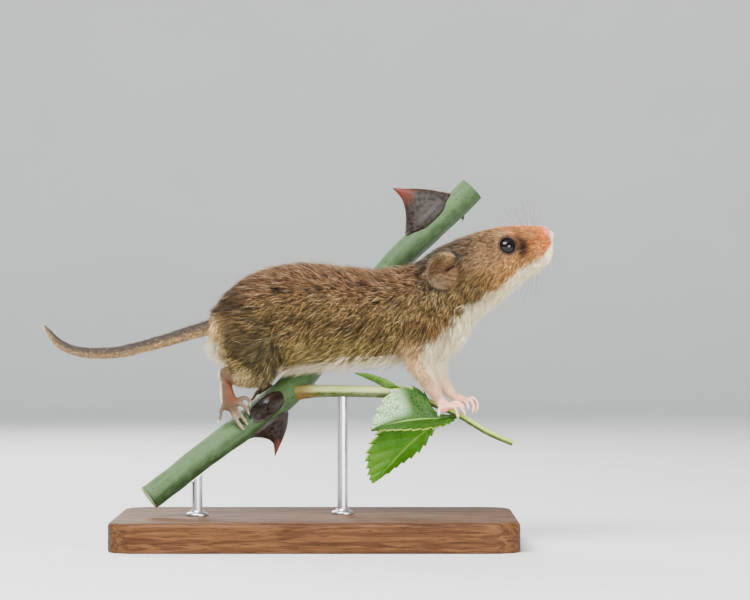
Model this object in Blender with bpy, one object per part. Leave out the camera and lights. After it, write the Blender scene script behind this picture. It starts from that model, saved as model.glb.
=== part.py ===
"""A life-size harvest mouse reaching out along a cut rose stem, on a plain display stand.

+X is forward, towards the nose, +Y is the animal's left and +Z is up. The origin is the middle of the
base's underside. Sizes are in millimetres and are turned to metres when a mesh is made.
"""

import math

import bmesh
import bpy
from mathutils import Matrix, Vector

MM = 0.001
GAP = 0.3  # clear space between solids that meet

# Trunk, neck and head, from rump to nose, in sections across the spine: x and z of the middle,
# half height, half width, lean (top forward, in degrees), and how much fuller it is low down.
TRUNK = (
    (-17.9, 36.8, 0.9, 0.9, 3.0, 0.00),
    (-17.3, 36.8, 3.0, 3.1, 3.0, 0.00),
    (-16.0, 36.8, 5.3, 5.5, 3.0, 0.03),
    (-13.1, 37.1, 7.6, 7.9, 2.5, 0.06),
    (-9.0, 37.9, 8.7, 9.1, 0.0, 0.08),
    (-2.9, 38.8, 9.0, 9.3, 2.0, 0.10),
    (4.1, 38.8, 8.4, 8.6, 1.0, 0.10),
    (10.4, 38.8, 7.9, 7.8, -2.0, 0.09),
    (16.1, 39.3, 7.9, 7.5, -6.5, 0.07),
    (20.6, 41.0, 8.1, 7.0, -17.5, 0.05),
    (23.6, 43.8, 7.4, 6.7, -20.0, 0.06),
    (26.6, 45.8, 6.8, 6.7, -20.0, 0.09),
    (30.1, 47.6, 6.2, 6.4, -19.0, 0.11),
    (33.5, 49.3, 5.1, 5.3, -17.5, 0.10),
    (36.4, 50.1, 4.3, 4.1, -14.0, 0.06),
    (38.5, 50.6, 3.6, 3.2, -8.0, 0.04),
    (39.6, 50.9, 2.9, 2.4, -4.0, 0.02),
    (40.15, 51.1, 1.7, 1.3, -3.0, 0.00),
)
TRUNK_SIDES = 26
TRUNK_STEPS = 1.8  # rings for each station
HEAD_STEPS = 2.4
RUMP_TIP, NOSE_TIP = 0.25, 0.2  # how far the trunk's two ends bulge
NECK_BACK = 8.55  # station where the torso ends and the neck starts
NECK_FRONT = 9.4  # station where the neck ends and the head starts

# Eye, lids, ears, nose and mouth
EYE_X, EYE_Z = 32.3, 50.6
EYE_RADIUS = 1.45
EYE_SUNK = 0.55  # of its middle, below the coat
EYE_LOOKS = (0.26, 0.93, 0.25)
LID_RADIUS = 0.4
LID_RING = 1.68
LID_OUT = 0.605  # of the ring's middle, beyond the eye's
LID_LONGER = 1.06  # along the head than it is high
EAR_X, EAR_Z = 21.6, 46.4
EAR_LENGTH, EAR_HEIGHT, EAR_CUP = 3.2, 3.2, 1.9
EAR_WALL = 0.55
EAR_OUT = 0.9  # of its rim's middle, beyond the coat
EAR_RIM = 0.12  # where the cup is cut open, as a share of its depth
EAR_OPENS = (0.3, 0.93, 0.1)
NOSE_X, NOSE_Z = 39.7, 52.4
NOSE_SIZE = (0.85, 1.15, 0.9)
NOSTRIL = (0.5, 0.3, 0.4)
NOSTRIL_FROM_MIDDLE = (0.72, 0.72, -0.12)
NOSTRIL_TURN = math.radians(38)
MOUTH = ((35.4, 46.8), (36.7, 47.0), (38.1, 47.3), (39.8, 47.9))  # x and z, corner to front
MOUTH_OPEN = 0.2
MOUTH_DEEP = 0.7
MOUTH_WIDE = 8.0  # half width of the sheet that cuts it, beyond the cheeks
MOUTH_PAST = 2.0  # how far the sheet goes past the front
LIP_FRONT = ((39.2, 1.1, 47.75), (39.6, 0.0, 47.9))  # where the lips meet under the nose
LIP_RADIUS = 0.32

# Tail, from the root inside the rump: x, y, z and radius
TAIL = (
    (-14.6, 0.0, 37.6, 1.6),
    (-17.6, 0.0, 37.0, 1.5),
    (-21.2, 0.1, 36.0, 1.32),
    (-25.4, 0.5, 34.7, 1.25),
    (-29.4, 1.0, 33.6, 1.22),
    (-33.7, 1.6, 32.6, 1.18),
    (-38.4, 2.5, 32.4, 1.1),
    (-42.0, 3.3, 33.0, 1.0),
    (-44.4, 4.0, 34.3, 0.88),
    (-45.8, 4.5, 35.9, 0.66),
    (-46.7, 4.8, 37.1, 0.42),
)
TAIL_CUTS = (4.0, 7.0)
TAIL_SIDES = 12
TAIL_POCKET = 3  # row that its pocket in the rump reaches

# Rose stem, from its lower cut end: x, y, z and radius
STEM = (
    (-28.0, -5.3, 8.2, 2.15),
    (-24.0, -4.2, 11.2, 2.15),
    (-18.4, -2.6, 15.6, 2.2),
    (-12.9, -0.4, 19.6, 2.35),
    (-8.7, 1.7, 22.9, 2.5),
    (-5.3, 4.1, 25.5, 2.5),
    (-2.0, 7.4, 29.0, 2.4),
    (1.6, 10.9, 33.4, 2.35),
    (6.0, 13.3, 38.9, 2.35),
    (10.4, 14.7, 44.4, 2.35),
    (15.0, 15.6, 49.5, 2.35),
    (19.8, 16.3, 54.0, 2.35),
    (24.6, 17.0, 58.6, 2.35),
    (27.0, 17.3, 61.0, 2.35),
)
STEM_SIDES, STALK_SIDES = 12, 10
PRICKLE_SIDES = 10
NODE_X = -5.3  # where the leaf stalk leaves it
# x on the stem, turn round it (0 up, 90 towards the right of the animal), height, base length,
# and how far the point leans towards the stem's lower end
PRICKLES = (
    (20.5, 0.0, 7.7, 11.8, 1.1),
    (-9.6, 180.0, 5.6, 9.6, 1.9),
    (-8.0, 74.0, 2.6, 6.4, 0.5),
)

# Up a prickle: share of its height, of its base length and of the point's lean
PRICKLE_SHAPE = ((-0.14, 0.92, 0.0), (0.0, 1.0, 0.0), (0.18, 0.78, -0.4), (0.4, 0.52, -0.6), (0.64, 0.3, -0.3),
                 (0.84, 0.13, 0.4), (1.0, 0.03, 1.0))

PRICKLE_ROOT = 0.86  # how far out its base sits, as a share of the stem's radius
PRICKLE_LEAST, PRICKLE_WIDER = 0.35, 0.17  # half width: at the point, and for each mm of its length

# Leaf stalk, from inside the stem out under the forefeet: x, y, z and radius
STALK = (
    (-5.0, 4.2, 25.4, 1.5),
    (-2.6, 3.2, 25.8, 1.35),
    (1.0, 2.0, 26.0, 1.1),
    (6.0, 1.0, 26.0, 1.05),
    (11.0, 0.3, 25.9, 1.05),
    (14.5, -0.1, 25.5, 0.85),
    (18.0, -0.5, 24.6, 0.65),
    (21.2, -0.7, 23.4, 0.58),
    (24.8, -0.8, 21.7, 0.56),
    (29.1, -0.8, 19.1, 0.54),
    (33.4, -0.6, 17.2, 0.52),
)
STIPULE = ((14.0, -0.1, 26.2, 0.5, 0.3), (11.5, -0.2, 27.6, 0.7, 0.28), (9.0, -0.4, 28.5, 0.5, 0.26),
           (6.8, -0.6, 28.9, 0.3, 0.25))
LEAF_THICK = 0.5

# Stand
BASE_LENGTH, BASE_DEPTH, BASE_HEIGHT = 68.0, 42.0, 5.0
BASE_CORNER, BASE_EDGE = 5.0, 0.8
ROD_RADIUS = 0.9
ROD_SINK = 3.0  # into the base
RODS = (("stand_rod_rear", -20.0), ("stand_rod_front", 4.5))

Y_AXIS = Vector((0.0, 1.0, 0.0))
DOME_TURNS = (math.radians(38), math.radians(68))  # rings of a rounded cap
TUBE_END_TURNS = (0.6, 1.1, 1.4)


# Interpolation and placing

def smooth(table, s):
    """The row of a table at place s, on a smooth curve through its rows."""
    last = len(table) - 1
    i = min(int(max(s, 0.0)), last - 1)
    t = min(max(s, 0.0), last) - i
    p0, p1 = table[max(i - 1, 0)], table[i]
    p2, p3 = table[i + 1], table[min(i + 2, last)]
    return [
        0.5 * (2 * b + (c - a) * t + (2 * a - 5 * b + 4 * c - d) * t**2 + (3 * b - a - 3 * c + d) * t**3)
        for a, b, c, d in zip(p0, p1, p2, p3)
    ]


def places(start, end, steps):
    """Evenly spaced places from start to end, about this many for each row of a table."""
    count = max(1, round((end - start) * steps))
    return [start + (end - start) * k / count for k in range(count + 1)]


def gap_at(table, s):
    """How far along a table's places a gap reaches at s."""
    near, far = smooth(table, s - 0.05), smooth(table, s + 0.05)
    xyz = (0, 1) if table is TRUNK else (0, 1, 2)
    return GAP / math.dist([near[k] for k in xyz], [far[k] for k in xyz]) * 0.1


def trunk_section(s):
    """Middle, up direction, half height, half width and low fullness of the trunk at place s."""
    x, z, height, width, lean, low = smooth(TRUNK, s)
    up = Vector((math.sin(math.radians(lean)), 0.0, math.cos(math.radians(lean))))
    return Vector((x, 0.0, z)), up, height, width, low


def trunk_ring(s, grow=0.0):
    middle, up, height, width, low = trunk_section(s)
    height, width = height + grow, width + grow
    ring = []
    for k in range(TRUNK_SIDES):
        turn = 2 * math.pi * k / TRUNK_SIDES
        across = width * math.sin(turn) * (1 - low * math.cos(turn))
        ring.append(middle + up * height * math.cos(turn) + Y_AXIS * across)
    return ring


def coat_y(x, z):
    """How far the trunk's surface is from its middle plane, at this x and z."""
    best = min(places(1.0, len(TRUNK) - 1.0, 20), key=lambda s: off_section(s, x, z))
    middle, up, height, width, low = trunk_section(best)
    share = max(-1.0, min(1.0, (Vector((x, 0, z)) - middle).dot(up) / height))
    return width * math.sqrt(1 - share**2) * (1 - low * share)


def off_section(s, x, z):
    middle, up, *_ = trunk_section(s)
    return abs((Vector((x, 0, z)) - middle).cross(up).y)


def tube_rings(table, start, end, steps, sides, grow=0.0, side_way=Y_AXIS):
    """Rings of an oval limb. A row is x, y, z, radius and, along side_way, its other radius."""
    rings = []
    for s in places(start, end, steps):
        row = smooth(table, s)
        ahead, behind = smooth(table, s + 0.05), smooth(table, s - 0.05)
        along = (Vector(ahead[:3]) - Vector(behind[:3])).normalized()
        side = (side_way - along * along.dot(side_way)).normalized()
        across = along.cross(side)
        wide, deep = row[3] + grow, row[-1] + grow
        rings.append([
            Vector(row[:3]) + across * wide * math.cos(a) + side * deep * math.sin(a)
            for a in (2 * math.pi * k / sides for k in range(sides))
        ])
    return rings


def domed(rings, start=True, end=True):
    """Rings with a rounded cap added past each end asked for."""
    for wanted, at, towards in ((start, 0, 1), (end, -1, -2)):
        if not wanted:
            continue
        middle = sum(rings[at], Vector()) / len(rings[at])
        inner = sum(rings[towards], Vector()) / len(rings[towards])
        reach = sum((p - middle).length for p in rings[at]) / len(rings[at])
        out = (middle - inner).normalized() * reach
        caps = [
            [middle + (p - middle) * math.cos(a) + out * math.sin(a) for p in rings[at]]
            for a in DOME_TURNS
        ] + [[middle + out]]
        rings = caps[::-1] + rings if at == 0 else rings + caps
    return rings


# Making and joining meshes

def make_object(name, bm):
    bmesh.ops.recalc_face_normals(bm, faces=bm.faces)
    mesh = bpy.data.meshes.new(name)
    bm.to_mesh(mesh)
    bm.free()
    mesh.transform(Matrix.Scale(MM, 4))
    obj = bpy.data.objects.new(name, mesh)
    bpy.context.scene.collection.objects.link(obj)
    return obj


def loft(name, rings):
    """A closed skin through rings of points. A ring of one point closes to a tip."""
    bm = bmesh.new()
    made = [[bm.verts.new(p) for p in ring] for ring in rings]
    for low, high in zip(made, made[1:]):
        count = max(len(low), len(high))
        for k in range(count):
            n = (k + 1) % count
            corners = [low[k % len(low)], low[n % len(low)], high[n % len(high)], high[k % len(high)]]
            bm.faces.new(list(dict.fromkeys(corners)))
    for ring in (made[0], made[-1]):
        if len(ring) > 2:
            bm.faces.new(ring)
    return make_object(name, bm)


def rows_along(table, start, end, steps, grow=0.0):
    """Rows of x, y, z and radius for a tube, read from a smooth curve through a table's rows."""
    rows = [smooth(table, s) for s in places(start, end, steps)]
    return [(x, y, z, radius + grow) for x, y, z, radius in rows]


def rounded(rows):
    """Rows with a few more past their end, that round it off."""
    end, before = Vector(rows[-1][:3]), Vector(rows[-2][:3])
    out, radius = (end - before).normalized(), rows[-1][3]
    caps = [(*(end + out * radius * math.sin(a)), radius * math.cos(a)) for a in TUBE_END_TURNS]
    return [*rows, *caps]


def tube(name, rows, sides=12):
    """A round tube, from a curve with a round bevel."""
    curve = bpy.data.curves.new(name, "CURVE")
    curve.dimensions = "3D"
    curve.bevel_depth = 1.0
    curve.bevel_resolution = (sides - 4) // 2
    curve.use_fill_caps = True
    spline = curve.splines.new("POLY")
    spline.points.add(len(rows) - 1)
    for point, (x, y, z, radius) in zip(spline.points, rows):
        point.co = (x, y, z, 1.0)
        point.radius = radius
    guide = bpy.data.objects.new(name, curve)
    bpy.context.scene.collection.objects.link(guide)
    graph = bpy.context.evaluated_depsgraph_get()
    mesh = bpy.data.meshes.new_from_object(guide.evaluated_get(graph))
    bpy.data.objects.remove(guide)
    bm = bmesh.new()
    bm.from_mesh(mesh)
    bmesh.ops.remove_doubles(bm, verts=bm.verts, dist=1e-4)
    return make_object(name, bm)


def ellipsoid(name, middle, size, turn=None, segments=16, rings=10):
    bm = bmesh.new()
    bmesh.ops.create_uvsphere(bm, u_segments=segments, v_segments=rings, radius=1.0)
    placing = Matrix.Translation(middle) @ (turn or Matrix()) @ Matrix.Diagonal((*size, 1.0))
    bm.transform(placing)
    return make_object(name, bm)


def combine(target, tools, operation="UNION"):
    """One Boolean of target with all the tools, applied, and the tools removed."""
    group = bpy.data.collections.new("tools")
    bpy.context.scene.collection.children.link(group)
    for tool in tools:
        bpy.context.scene.collection.objects.unlink(tool)
        group.objects.link(tool)
    modifier = target.modifiers.new("join", "BOOLEAN")
    modifier.operand_type = "COLLECTION"
    modifier.collection = group
    modifier.operation = operation
    modifier.solver = "EXACT"
    graph = bpy.context.evaluated_depsgraph_get()
    mesh = bpy.data.meshes.new_from_object(target.evaluated_get(graph))
    target.modifiers.clear()
    target.data = mesh
    for tool in tools:
        bpy.data.objects.remove(tool)
    bpy.data.collections.remove(group)
    keep_largest(target)
    return target


def keep_largest(obj):
    """Leaves only the largest closed surface of an object."""
    bm = bmesh.new()
    bm.from_mesh(obj.data)
    left, islands = set(bm.faces), []
    while left:
        island, edge_of = set(), [left.pop()]
        while edge_of:
            face = edge_of.pop()
            island.add(face)
            for edge in face.edges:
                for other in edge.link_faces:
                    if other in left:
                        left.discard(other)
                        edge_of.append(other)
        islands.append(island)
    largest = max(islands, key=lambda island: sum(face.calc_area() for face in island))
    bmesh.ops.delete(bm, geom=[f for f in bm.faces if f not in largest], context="FACES")
    bmesh.ops.delete(bm, geom=[v for v in bm.verts if not v.link_faces], context="VERTS")
    bm.to_mesh(obj.data)
    bm.free()


# Body

def trunk_part(name, start, end, grow=0.0, steps=TRUNK_STEPS):
    rings = [trunk_ring(s, grow) for s in places(start, end, steps)]
    last = len(TRUNK) - 1
    if start <= 0:
        middle = trunk_section(0)[0]
        rings.insert(0, [middle - Vector((RUMP_TIP + grow, 0, 0))])
    if end >= last:
        middle = trunk_section(last)[0]
        rings.append([middle + Vector((NOSE_TIP + grow, 0, 0))])
    return loft(name, rings)


def torso():
    return trunk_part("torso", 0, NECK_BACK - gap_at(TRUNK, NECK_BACK) / 2)


def neck():
    return trunk_part(
        "neck",
        NECK_BACK + gap_at(TRUNK, NECK_BACK) / 2,
        NECK_FRONT - gap_at(TRUNK, NECK_FRONT) / 2,
    )


def eye_place(side):
    """Middle of an eye, and the way that it looks."""
    skin = coat_y(EYE_X, EYE_Z)
    look = Vector((EYE_LOOKS[0], EYE_LOOKS[1] * side, EYE_LOOKS[2])).normalized()
    return Vector((EYE_X, side * skin, EYE_Z)) - look * EYE_SUNK, look


def eye(name, side, grow=0.0):
    middle, _ = eye_place(side)
    return ellipsoid(name, middle, [EYE_RADIUS + grow] * 3, segments=16, rings=10)


def lids(side):
    """A ring of lid round the eye, a little longer than it is high."""
    middle, look = eye_place(side)
    turn = look.to_track_quat("Z", "Y").to_matrix().to_4x4()
    bm = bmesh.new()
    bmesh.ops.create_circle(bm, segments=6, radius=LID_RADIUS)
    bmesh.ops.rotate(bm, verts=bm.verts, matrix=Matrix.Rotation(math.pi / 2, 3, "X"))
    bmesh.ops.translate(bm, verts=bm.verts, vec=(LID_RING, 0, 0))
    bmesh.ops.spin(
        bm, geom=bm.edges[:], axis=(0, 0, 1), cent=(0, 0, 0), angle=2 * math.pi, steps=16, use_merge=True
    )
    bmesh.ops.remove_doubles(bm, verts=bm.verts, dist=1e-4)
    bm.transform(Matrix.Translation(middle + look * LID_OUT) @ turn @ Matrix.Diagonal((1, LID_LONGER, 1, 1)))
    return make_object("lids", bm)


def mouth_cutter():
    """A thin curved sheet along the mouth line that reaches only a little way in."""
    wide = MOUTH_WIDE
    rings = []
    for x, z in MOUTH:
        low, high = z - MOUTH_OPEN / 2, z + MOUTH_OPEN / 2
        rings.append([Vector(p) for p in ((x, -wide, low), (x, wide, low), (x, wide, high), (x, -wide, high))])
    front = [p + Vector((MOUTH_PAST, 0, 0)) for p in rings[-1]]
    sheet = loft("mouth", [*rings, front])
    core = trunk_part("core", NECK_FRONT, len(TRUNK) - 1, grow=-MOUTH_DEEP)
    return combine(sheet, [core], "DIFFERENCE")


def lips():
    """A soft rim that follows the mouth line round the muzzle."""
    half = [(x, coat_y(x, z) - 0.1, z) for x, z in MOUTH[:-1]]
    path = [*half, *LIP_FRONT]
    path += [(x, -y, z) for x, y, z in reversed(path[:-1])]
    table = [(*p, LIP_RADIUS) for p in path]
    rows = rounded(rows_along(table, 0, len(table) - 1, 2))
    return tube("lips", rounded(rows[::-1]), sides=8)


def nose_shape(name, grow=0.0):
    size = [s + grow for s in NOSE_SIZE]
    return ellipsoid(name, Vector((NOSE_X, 0, NOSE_Z)), size, segments=14, rings=8)


def nose():
    pad = nose_shape("nose")
    nostrils = []
    for side in (1, -1):
        ahead, aside, above = NOSTRIL_FROM_MIDDLE
        place = Vector((NOSE_X + ahead, side * aside, NOSE_Z + above))
        turn = Matrix.Rotation(side * NOSTRIL_TURN, 4, "Z")
        nostrils.append(ellipsoid("nostril", place, NOSTRIL, turn, segments=10, rings=6))
    return combine(pad, nostrils, "DIFFERENCE")


def head():
    made = trunk_part("head", NECK_FRONT + gap_at(TRUNK, NECK_FRONT) / 2, len(TRUNK) - 1, steps=HEAD_STEPS)
    combine(made, [lids(1), lids(-1), lips()])
    cutters = [eye("socket", side, GAP) for side in (1, -1)]
    cutters += [ear_pocket(side) for side in (1, -1)]
    return combine(made, [*cutters, mouth_cutter(), nose_shape("pocket", GAP)], "DIFFERENCE")


def ear_placing(side):
    opening = Vector((EAR_OPENS[0], EAR_OPENS[1] * side, EAR_OPENS[2])).normalized()
    turn = opening.to_track_quat("Z", "X").to_matrix().to_4x4()
    place = Vector((EAR_X, side * (coat_y(EAR_X, EAR_Z) + EAR_OUT), EAR_Z))
    return place, turn


def ear(name, side):
    """A rounded cup, open outwards and a little forwards, let into the side of the head."""
    place, turn = ear_placing(side)
    bm = bmesh.new()
    bmesh.ops.create_uvsphere(bm, u_segments=16, v_segments=10, radius=1.0)
    bmesh.ops.bisect_plane(
        bm, geom=[*bm.verts, *bm.edges, *bm.faces], plane_co=(0, 0, EAR_RIM), plane_no=(0, 0, 1), clear_outer=True
    )
    bm.transform(Matrix.Diagonal((EAR_HEIGHT, EAR_LENGTH, EAR_CUP, 1)))
    bmesh.ops.recalc_face_normals(bm, faces=bm.faces)
    bmesh.ops.solidify(bm, geom=bm.faces[:], thickness=EAR_WALL)
    bm.transform(Matrix.Translation(place) @ turn)
    return make_object(name, bm)


def ear_pocket(side):
    place, turn = ear_placing(side)
    size = [s + GAP for s in (EAR_HEIGHT, EAR_LENGTH, EAR_CUP)]
    return ellipsoid("pocket", place, size, turn, segments=16, rings=10)


def tail_part(name, start, end, grow=0.0):
    rows = rows_along(TAIL, start, end, 2, grow)
    return tube(name, rounded(rows) if end == len(TAIL) - 1 else rows, TAIL_SIDES)


def tail():
    edges = [0.0]
    for cut in TAIL_CUTS:
        half = gap_at(TAIL, cut) / 2
        edges += [cut - half, cut + half]
    edges.append(len(TAIL) - 1)
    for name, start, end in zip(("tail_root", "tail_middle", "tail_tip"), edges[::2], edges[1::2]):
        tail_part(name, start, end)


# Legs. Each row is x, y, z, radius in the plane of the leg and radius across it, and the right
# leg is y negative.
THIGHS = {
    "right": ((-12.4, -4.8, 38.4, 3.3, 3.0), (-11.7, -5.6, 36.4, 4.9, 3.9), (-10.2, -6.6, 32.8, 4.8, 3.6),
              (-8.8, -7.0, 29.9, 3.1, 2.7)),
    "left": ((-12.0, 4.8, 38.8, 3.3, 3.0), (-10.9, 5.8, 37.2, 4.8, 3.8), (-8.6, 7.4, 34.4, 4.5, 3.4),
             (-7.0, 8.4, 32.2, 3.0, 2.6)),
}
SHANKS = {
    "right": ((-8.4, -7.0, 29.6, 2.7, 2.5), (-11.2, -6.5, 29.0, 2.4, 2.2), (-13.4, -5.7, 29.0, 1.8, 1.6),
              (-15.2, -5.2, 29.0, 1.2, 1.15)),
    "left": ((-6.9, 8.5, 32.0, 2.6, 2.5), (-7.7, 8.0, 30.4, 2.2, 2.1), (-8.7, 7.4, 29.1, 1.6, 1.5),
             (-9.4, 6.9, 28.4, 1.15, 1.1)),
}
UPPER_ARMS = {
    "right": ((20.0, -4.6, 38.8, 3.0, 2.4), (18.6, -5.2, 36.0, 3.2, 2.6), (17.5, -5.0, 32.8, 2.8, 2.2),
              (17.1, -4.7, 31.0, 2.4, 2.0)),
    "left": ((21.6, 4.6, 38.8, 3.0, 2.4), (21.0, 5.1, 36.2, 3.1, 2.5), (20.4, 4.6, 33.2, 2.7, 2.2),
             (20.0, 4.3, 31.4, 2.2, 1.9)),
}
FOREARMS = {
    "right": ((17.1, -4.7, 31.2, 2.4, 2.0), (18.4, -4.2, 28.9, 1.8, 1.6), (19.6, -3.6, 26.9, 1.4, 1.25),
              (20.7, -3.1, 25.2, 1.05, 0.95)),
    "left": ((20.0, 4.2, 31.4, 2.2, 1.9), (20.9, 3.6, 28.8, 1.5, 1.4), (21.9, 2.7, 26.9, 1.15, 1.05),
             (23.1, 1.7, 25.4, 0.95, 0.88)),
}
LEG_SIDES = 14


def leg(name, upper, lower, grow=0.0):
    thick = loft(name, domed(tube_rings(upper, 0, 3, 2, LEG_SIDES, grow)))
    thin = loft("lower", domed(tube_rings(lower, 0, 3, 2, LEG_SIDES, grow)))
    return combine(thick, [thin])


# Feet: the flat of the foot, then digits

HIND_FLATS = {
    "right": ((-15.5, -5.1, 29.0, 1.15, 1.1), (-15.1, -4.95, 27.3, 1.15, 1.0), (-14.9, -4.8, 25.6, 1.35, 0.85),
              (-14.4, -4.6, 23.9, 1.65, 0.75)),
    "left": ((-9.5, 6.9, 28.7, 1.1, 1.05), (-9.4, 6.8, 27.8, 1.05, 0.95), (-9.1, 6.6, 26.9, 1.2, 0.8),
             (-8.7, 6.4, 26.1, 1.55, 0.75)),
}
FORE_FLATS = {
    "right": ((20.8, -3.0, 25.1, 1.0, 0.92), (21.2, -2.9, 24.2, 1.0, 0.85), (21.9, -2.9, 23.4, 1.15, 0.7)),
    "left": ((23.2, 1.6, 25.4, 0.92, 0.85), (24.0, 1.2, 24.8, 0.95, 0.78), (24.9, 0.9, 24.3, 1.05, 0.68)),
}
FOOT_SIDES = 12
TOE_RADIUS, FINGER_RADIUS = 0.44, 0.36
# Along a digit: share of its length and of its radius, ending in the claw
DIGIT_SHAPE = ((0.0, 1.1), (0.24, 1.05), (0.48, 0.95), (0.72, 1.0), (0.82, 0.64), (0.92, 0.36), (1.0, 0.12))
CLEAR = GAP + 0.08  # of a foot over what it holds
CLAW_CLEAR = CLEAR + 0.15


def stem_frame(x):
    """Middle of the stem at this x, its direction, the ways up and right across it, and its radius."""
    s = min(places(0, len(STEM) - 1, 40), key=lambda s: abs(smooth(STEM, s)[0] - x))
    along = (Vector(smooth(STEM, s + 0.05)[:3]) - Vector(smooth(STEM, s - 0.05)[:3])).normalized()
    up = (Vector((0, 0, 1)) - along * along.z).normalized()
    row = smooth(STEM, s)
    return Vector(row[:3]), along, up, -up.cross(along), row[3]


def beside(table, x, z, off, side):
    """The point with this x and z that is this far off the surface of a round stem."""
    s = min(places(0, len(table) - 1, 20), key=lambda s: math.dist((x, z), smooth(table, s)[:3:2]))
    row, ahead, behind = smooth(table, s), smooth(table, s + 0.05), smooth(table, s - 0.05)
    along = (Vector(ahead[:3]) - Vector(behind[:3])).normalized()
    across = math.dist((x, z), row[:3:2])
    deep = math.sqrt(max((row[3] + off) ** 2 - across**2, 0.0) / (1 - along.y**2))
    return Vector((x, row[1] + side * deep, z))


def digit(path, radius):
    """A toe or finger with its claw, along a smooth path of four points."""
    table = []
    for share, wide in DIGIT_SHAPE:
        x, y, z = smooth(path, share * (len(path) - 1))
        table.append((x, y, z, radius * wide))
    return tube("digit", table, sides=6)


def sole(name, flat, grow=0.0):
    return loft(name, domed(tube_rings(flat, 0, len(flat) - 1, 2, FOOT_SIDES, grow)))


def foot(name, flat, digits, radius):
    return combine(sole(name, flat), [digit(path, radius) for path in digits])


# Roots and knuckles in x, y and z, then pad and claw in x and z, which lie against the stem
TOES = {
    "right": (
        ((-13.4, -4.3, 24.5), (-12.2, -4.0, 25.0), (-11.4, 24.5), (-11.0, 23.4)),
        ((-13.4, -4.5, 24.0), (-12.4, -4.6, 23.9), (-11.7, 23.0), (-11.2, 22.0)),
        ((-13.7, -4.6, 23.4), (-12.9, -4.5, 22.5), (-12.1, 21.3), (-11.5, 20.4)),
        ((-14.3, -4.6, 23.0), (-13.7, -4.5, 21.9), (-12.8, 20.4), (-12.1, 19.5)),
        ((-15.2, -4.7, 23.9), (-15.9, -4.4, 22.9), (-16.3, 21.4), (-16.7, 20.6)),
    ),
    "left": (
        ((-7.8, 6.4, 26.4), (-7.1, 6.7, 26.2), (-6.8, 25.4), (-6.8, 24.5)),
        ((-8.0, 6.5, 25.9), (-7.7, 6.7, 25.2), (-7.6, 24.3), (-7.7, 23.4)),
        ((-8.6, 6.5, 25.5), (-8.6, 6.4, 24.6), (-8.7, 23.6), (-8.9, 22.7)),
        ((-9.2, 6.4, 25.5), (-9.6, 6.1, 24.6), (-9.9, 23.5), (-10.2, 22.6)),
        ((-9.6, 6.4, 26.2), (-10.4, 5.9, 25.5), (-11.0, 24.3), (-11.4, 23.3)),
    ),
}


def toe_paths(side):
    """Paths of the five toes of a hind foot. Four lie over the stem, and the outer one points back."""
    sign = -1 if side == "right" else 1
    paths = []
    for root, knuckle, pad, claw in TOES[side]:
        low = beside(STEM, *pad, CLEAR + TOE_RADIUS, sign)
        tip = beside(STEM, *claw, CLAW_CLEAR, sign)
        paths.append((root, knuckle, tuple(low), tuple(tip)))
    return paths


FINGERS = {
    "right": (
        ((21.3, -3.2, 23.6), (20.9, -3.6, 23.1), (20.8, -3.7, 22.4), (20.8, -3.7, 21.8)),
        ((22.3, -3.3, 23.4), (23.3, -3.5, 23.4), (23.9, -3.4, 22.4), (24.1, -3.1, 21.3)),
        ((22.6, -2.9, 23.6), (24.0, -2.8, 23.6), (24.9, -2.6, 22.8), (25.4, -2.4, 21.8)),
        ((22.5, -2.5, 23.8), (23.7, -2.1, 24.2), (24.7, -2.0, 23.8), (25.2, -1.9, 23.0)),
    ),
    "left": (
        ((25.1, 1.4, 24.4), (26.2, 1.7, 24.7), (27.1, 1.6, 23.7), (26.9, 1.2, 22.3)),
        ((25.4, 1.0, 24.5), (26.7, 0.9, 24.8), (27.5, 0.8, 23.7), (27.1, 0.6, 22.2)),
        ((25.2, 0.6, 24.4), (26.2, 0.1, 24.5), (26.8, -0.1, 23.5), (26.5, -0.2, 22.2)),
        ((24.8, 0.4, 24.2), (25.5, -0.4, 24.1), (25.8, -0.7, 23.4), (25.8, -0.8, 22.8)),
    ),
}


# Perch

def prickle(x, turn, height, base, back):
    """A broad-based rose prickle, bent towards the stem's lower end."""
    middle, along, up, right, radius = stem_frame(x)
    a = math.radians(turn)
    out = up * math.cos(a) + right * math.sin(a)
    across = along.cross(out)
    rings = []
    for rise, long, lean in PRICKLE_SHAPE:
        centre = middle + out * (radius * PRICKLE_ROOT + height * rise) - along * back * lean
        wide = min(base * long * 0.5, PRICKLE_LEAST + base * PRICKLE_WIDER * long)
        rings.append([
            centre + along * base * 0.5 * long * math.cos(t) + across * wide * math.sin(t)
            for t in (2 * math.pi * k / PRICKLE_SIDES for k in range(PRICKLE_SIDES))
        ])
    return loft("prickle", rings)


def stem_part(name, grow=0.0):
    return tube(name, rows_along(STEM, 0, len(STEM) - 1, 2, grow), STEM_SIDES)


def perch_stem():
    return combine(stem_part("perch_stem"), [prickle(*sizes) for sizes in PRICKLES])


def stalk_part(name, grow=0.0):
    return tube(name, rows_along(STALK, 0, len(STALK) - 1, 2, grow), STALK_SIDES)


def perch_stalk():
    stalk = stalk_part("perch_stalk")
    stipule = loft("stipule", tube_rings(STIPULE, 0, len(STIPULE) - 1, 2, 8))
    combine(stalk, [stipule])
    return combine(stalk, [stem_part("keep_off", GAP)], "DIFFERENCE")


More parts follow.
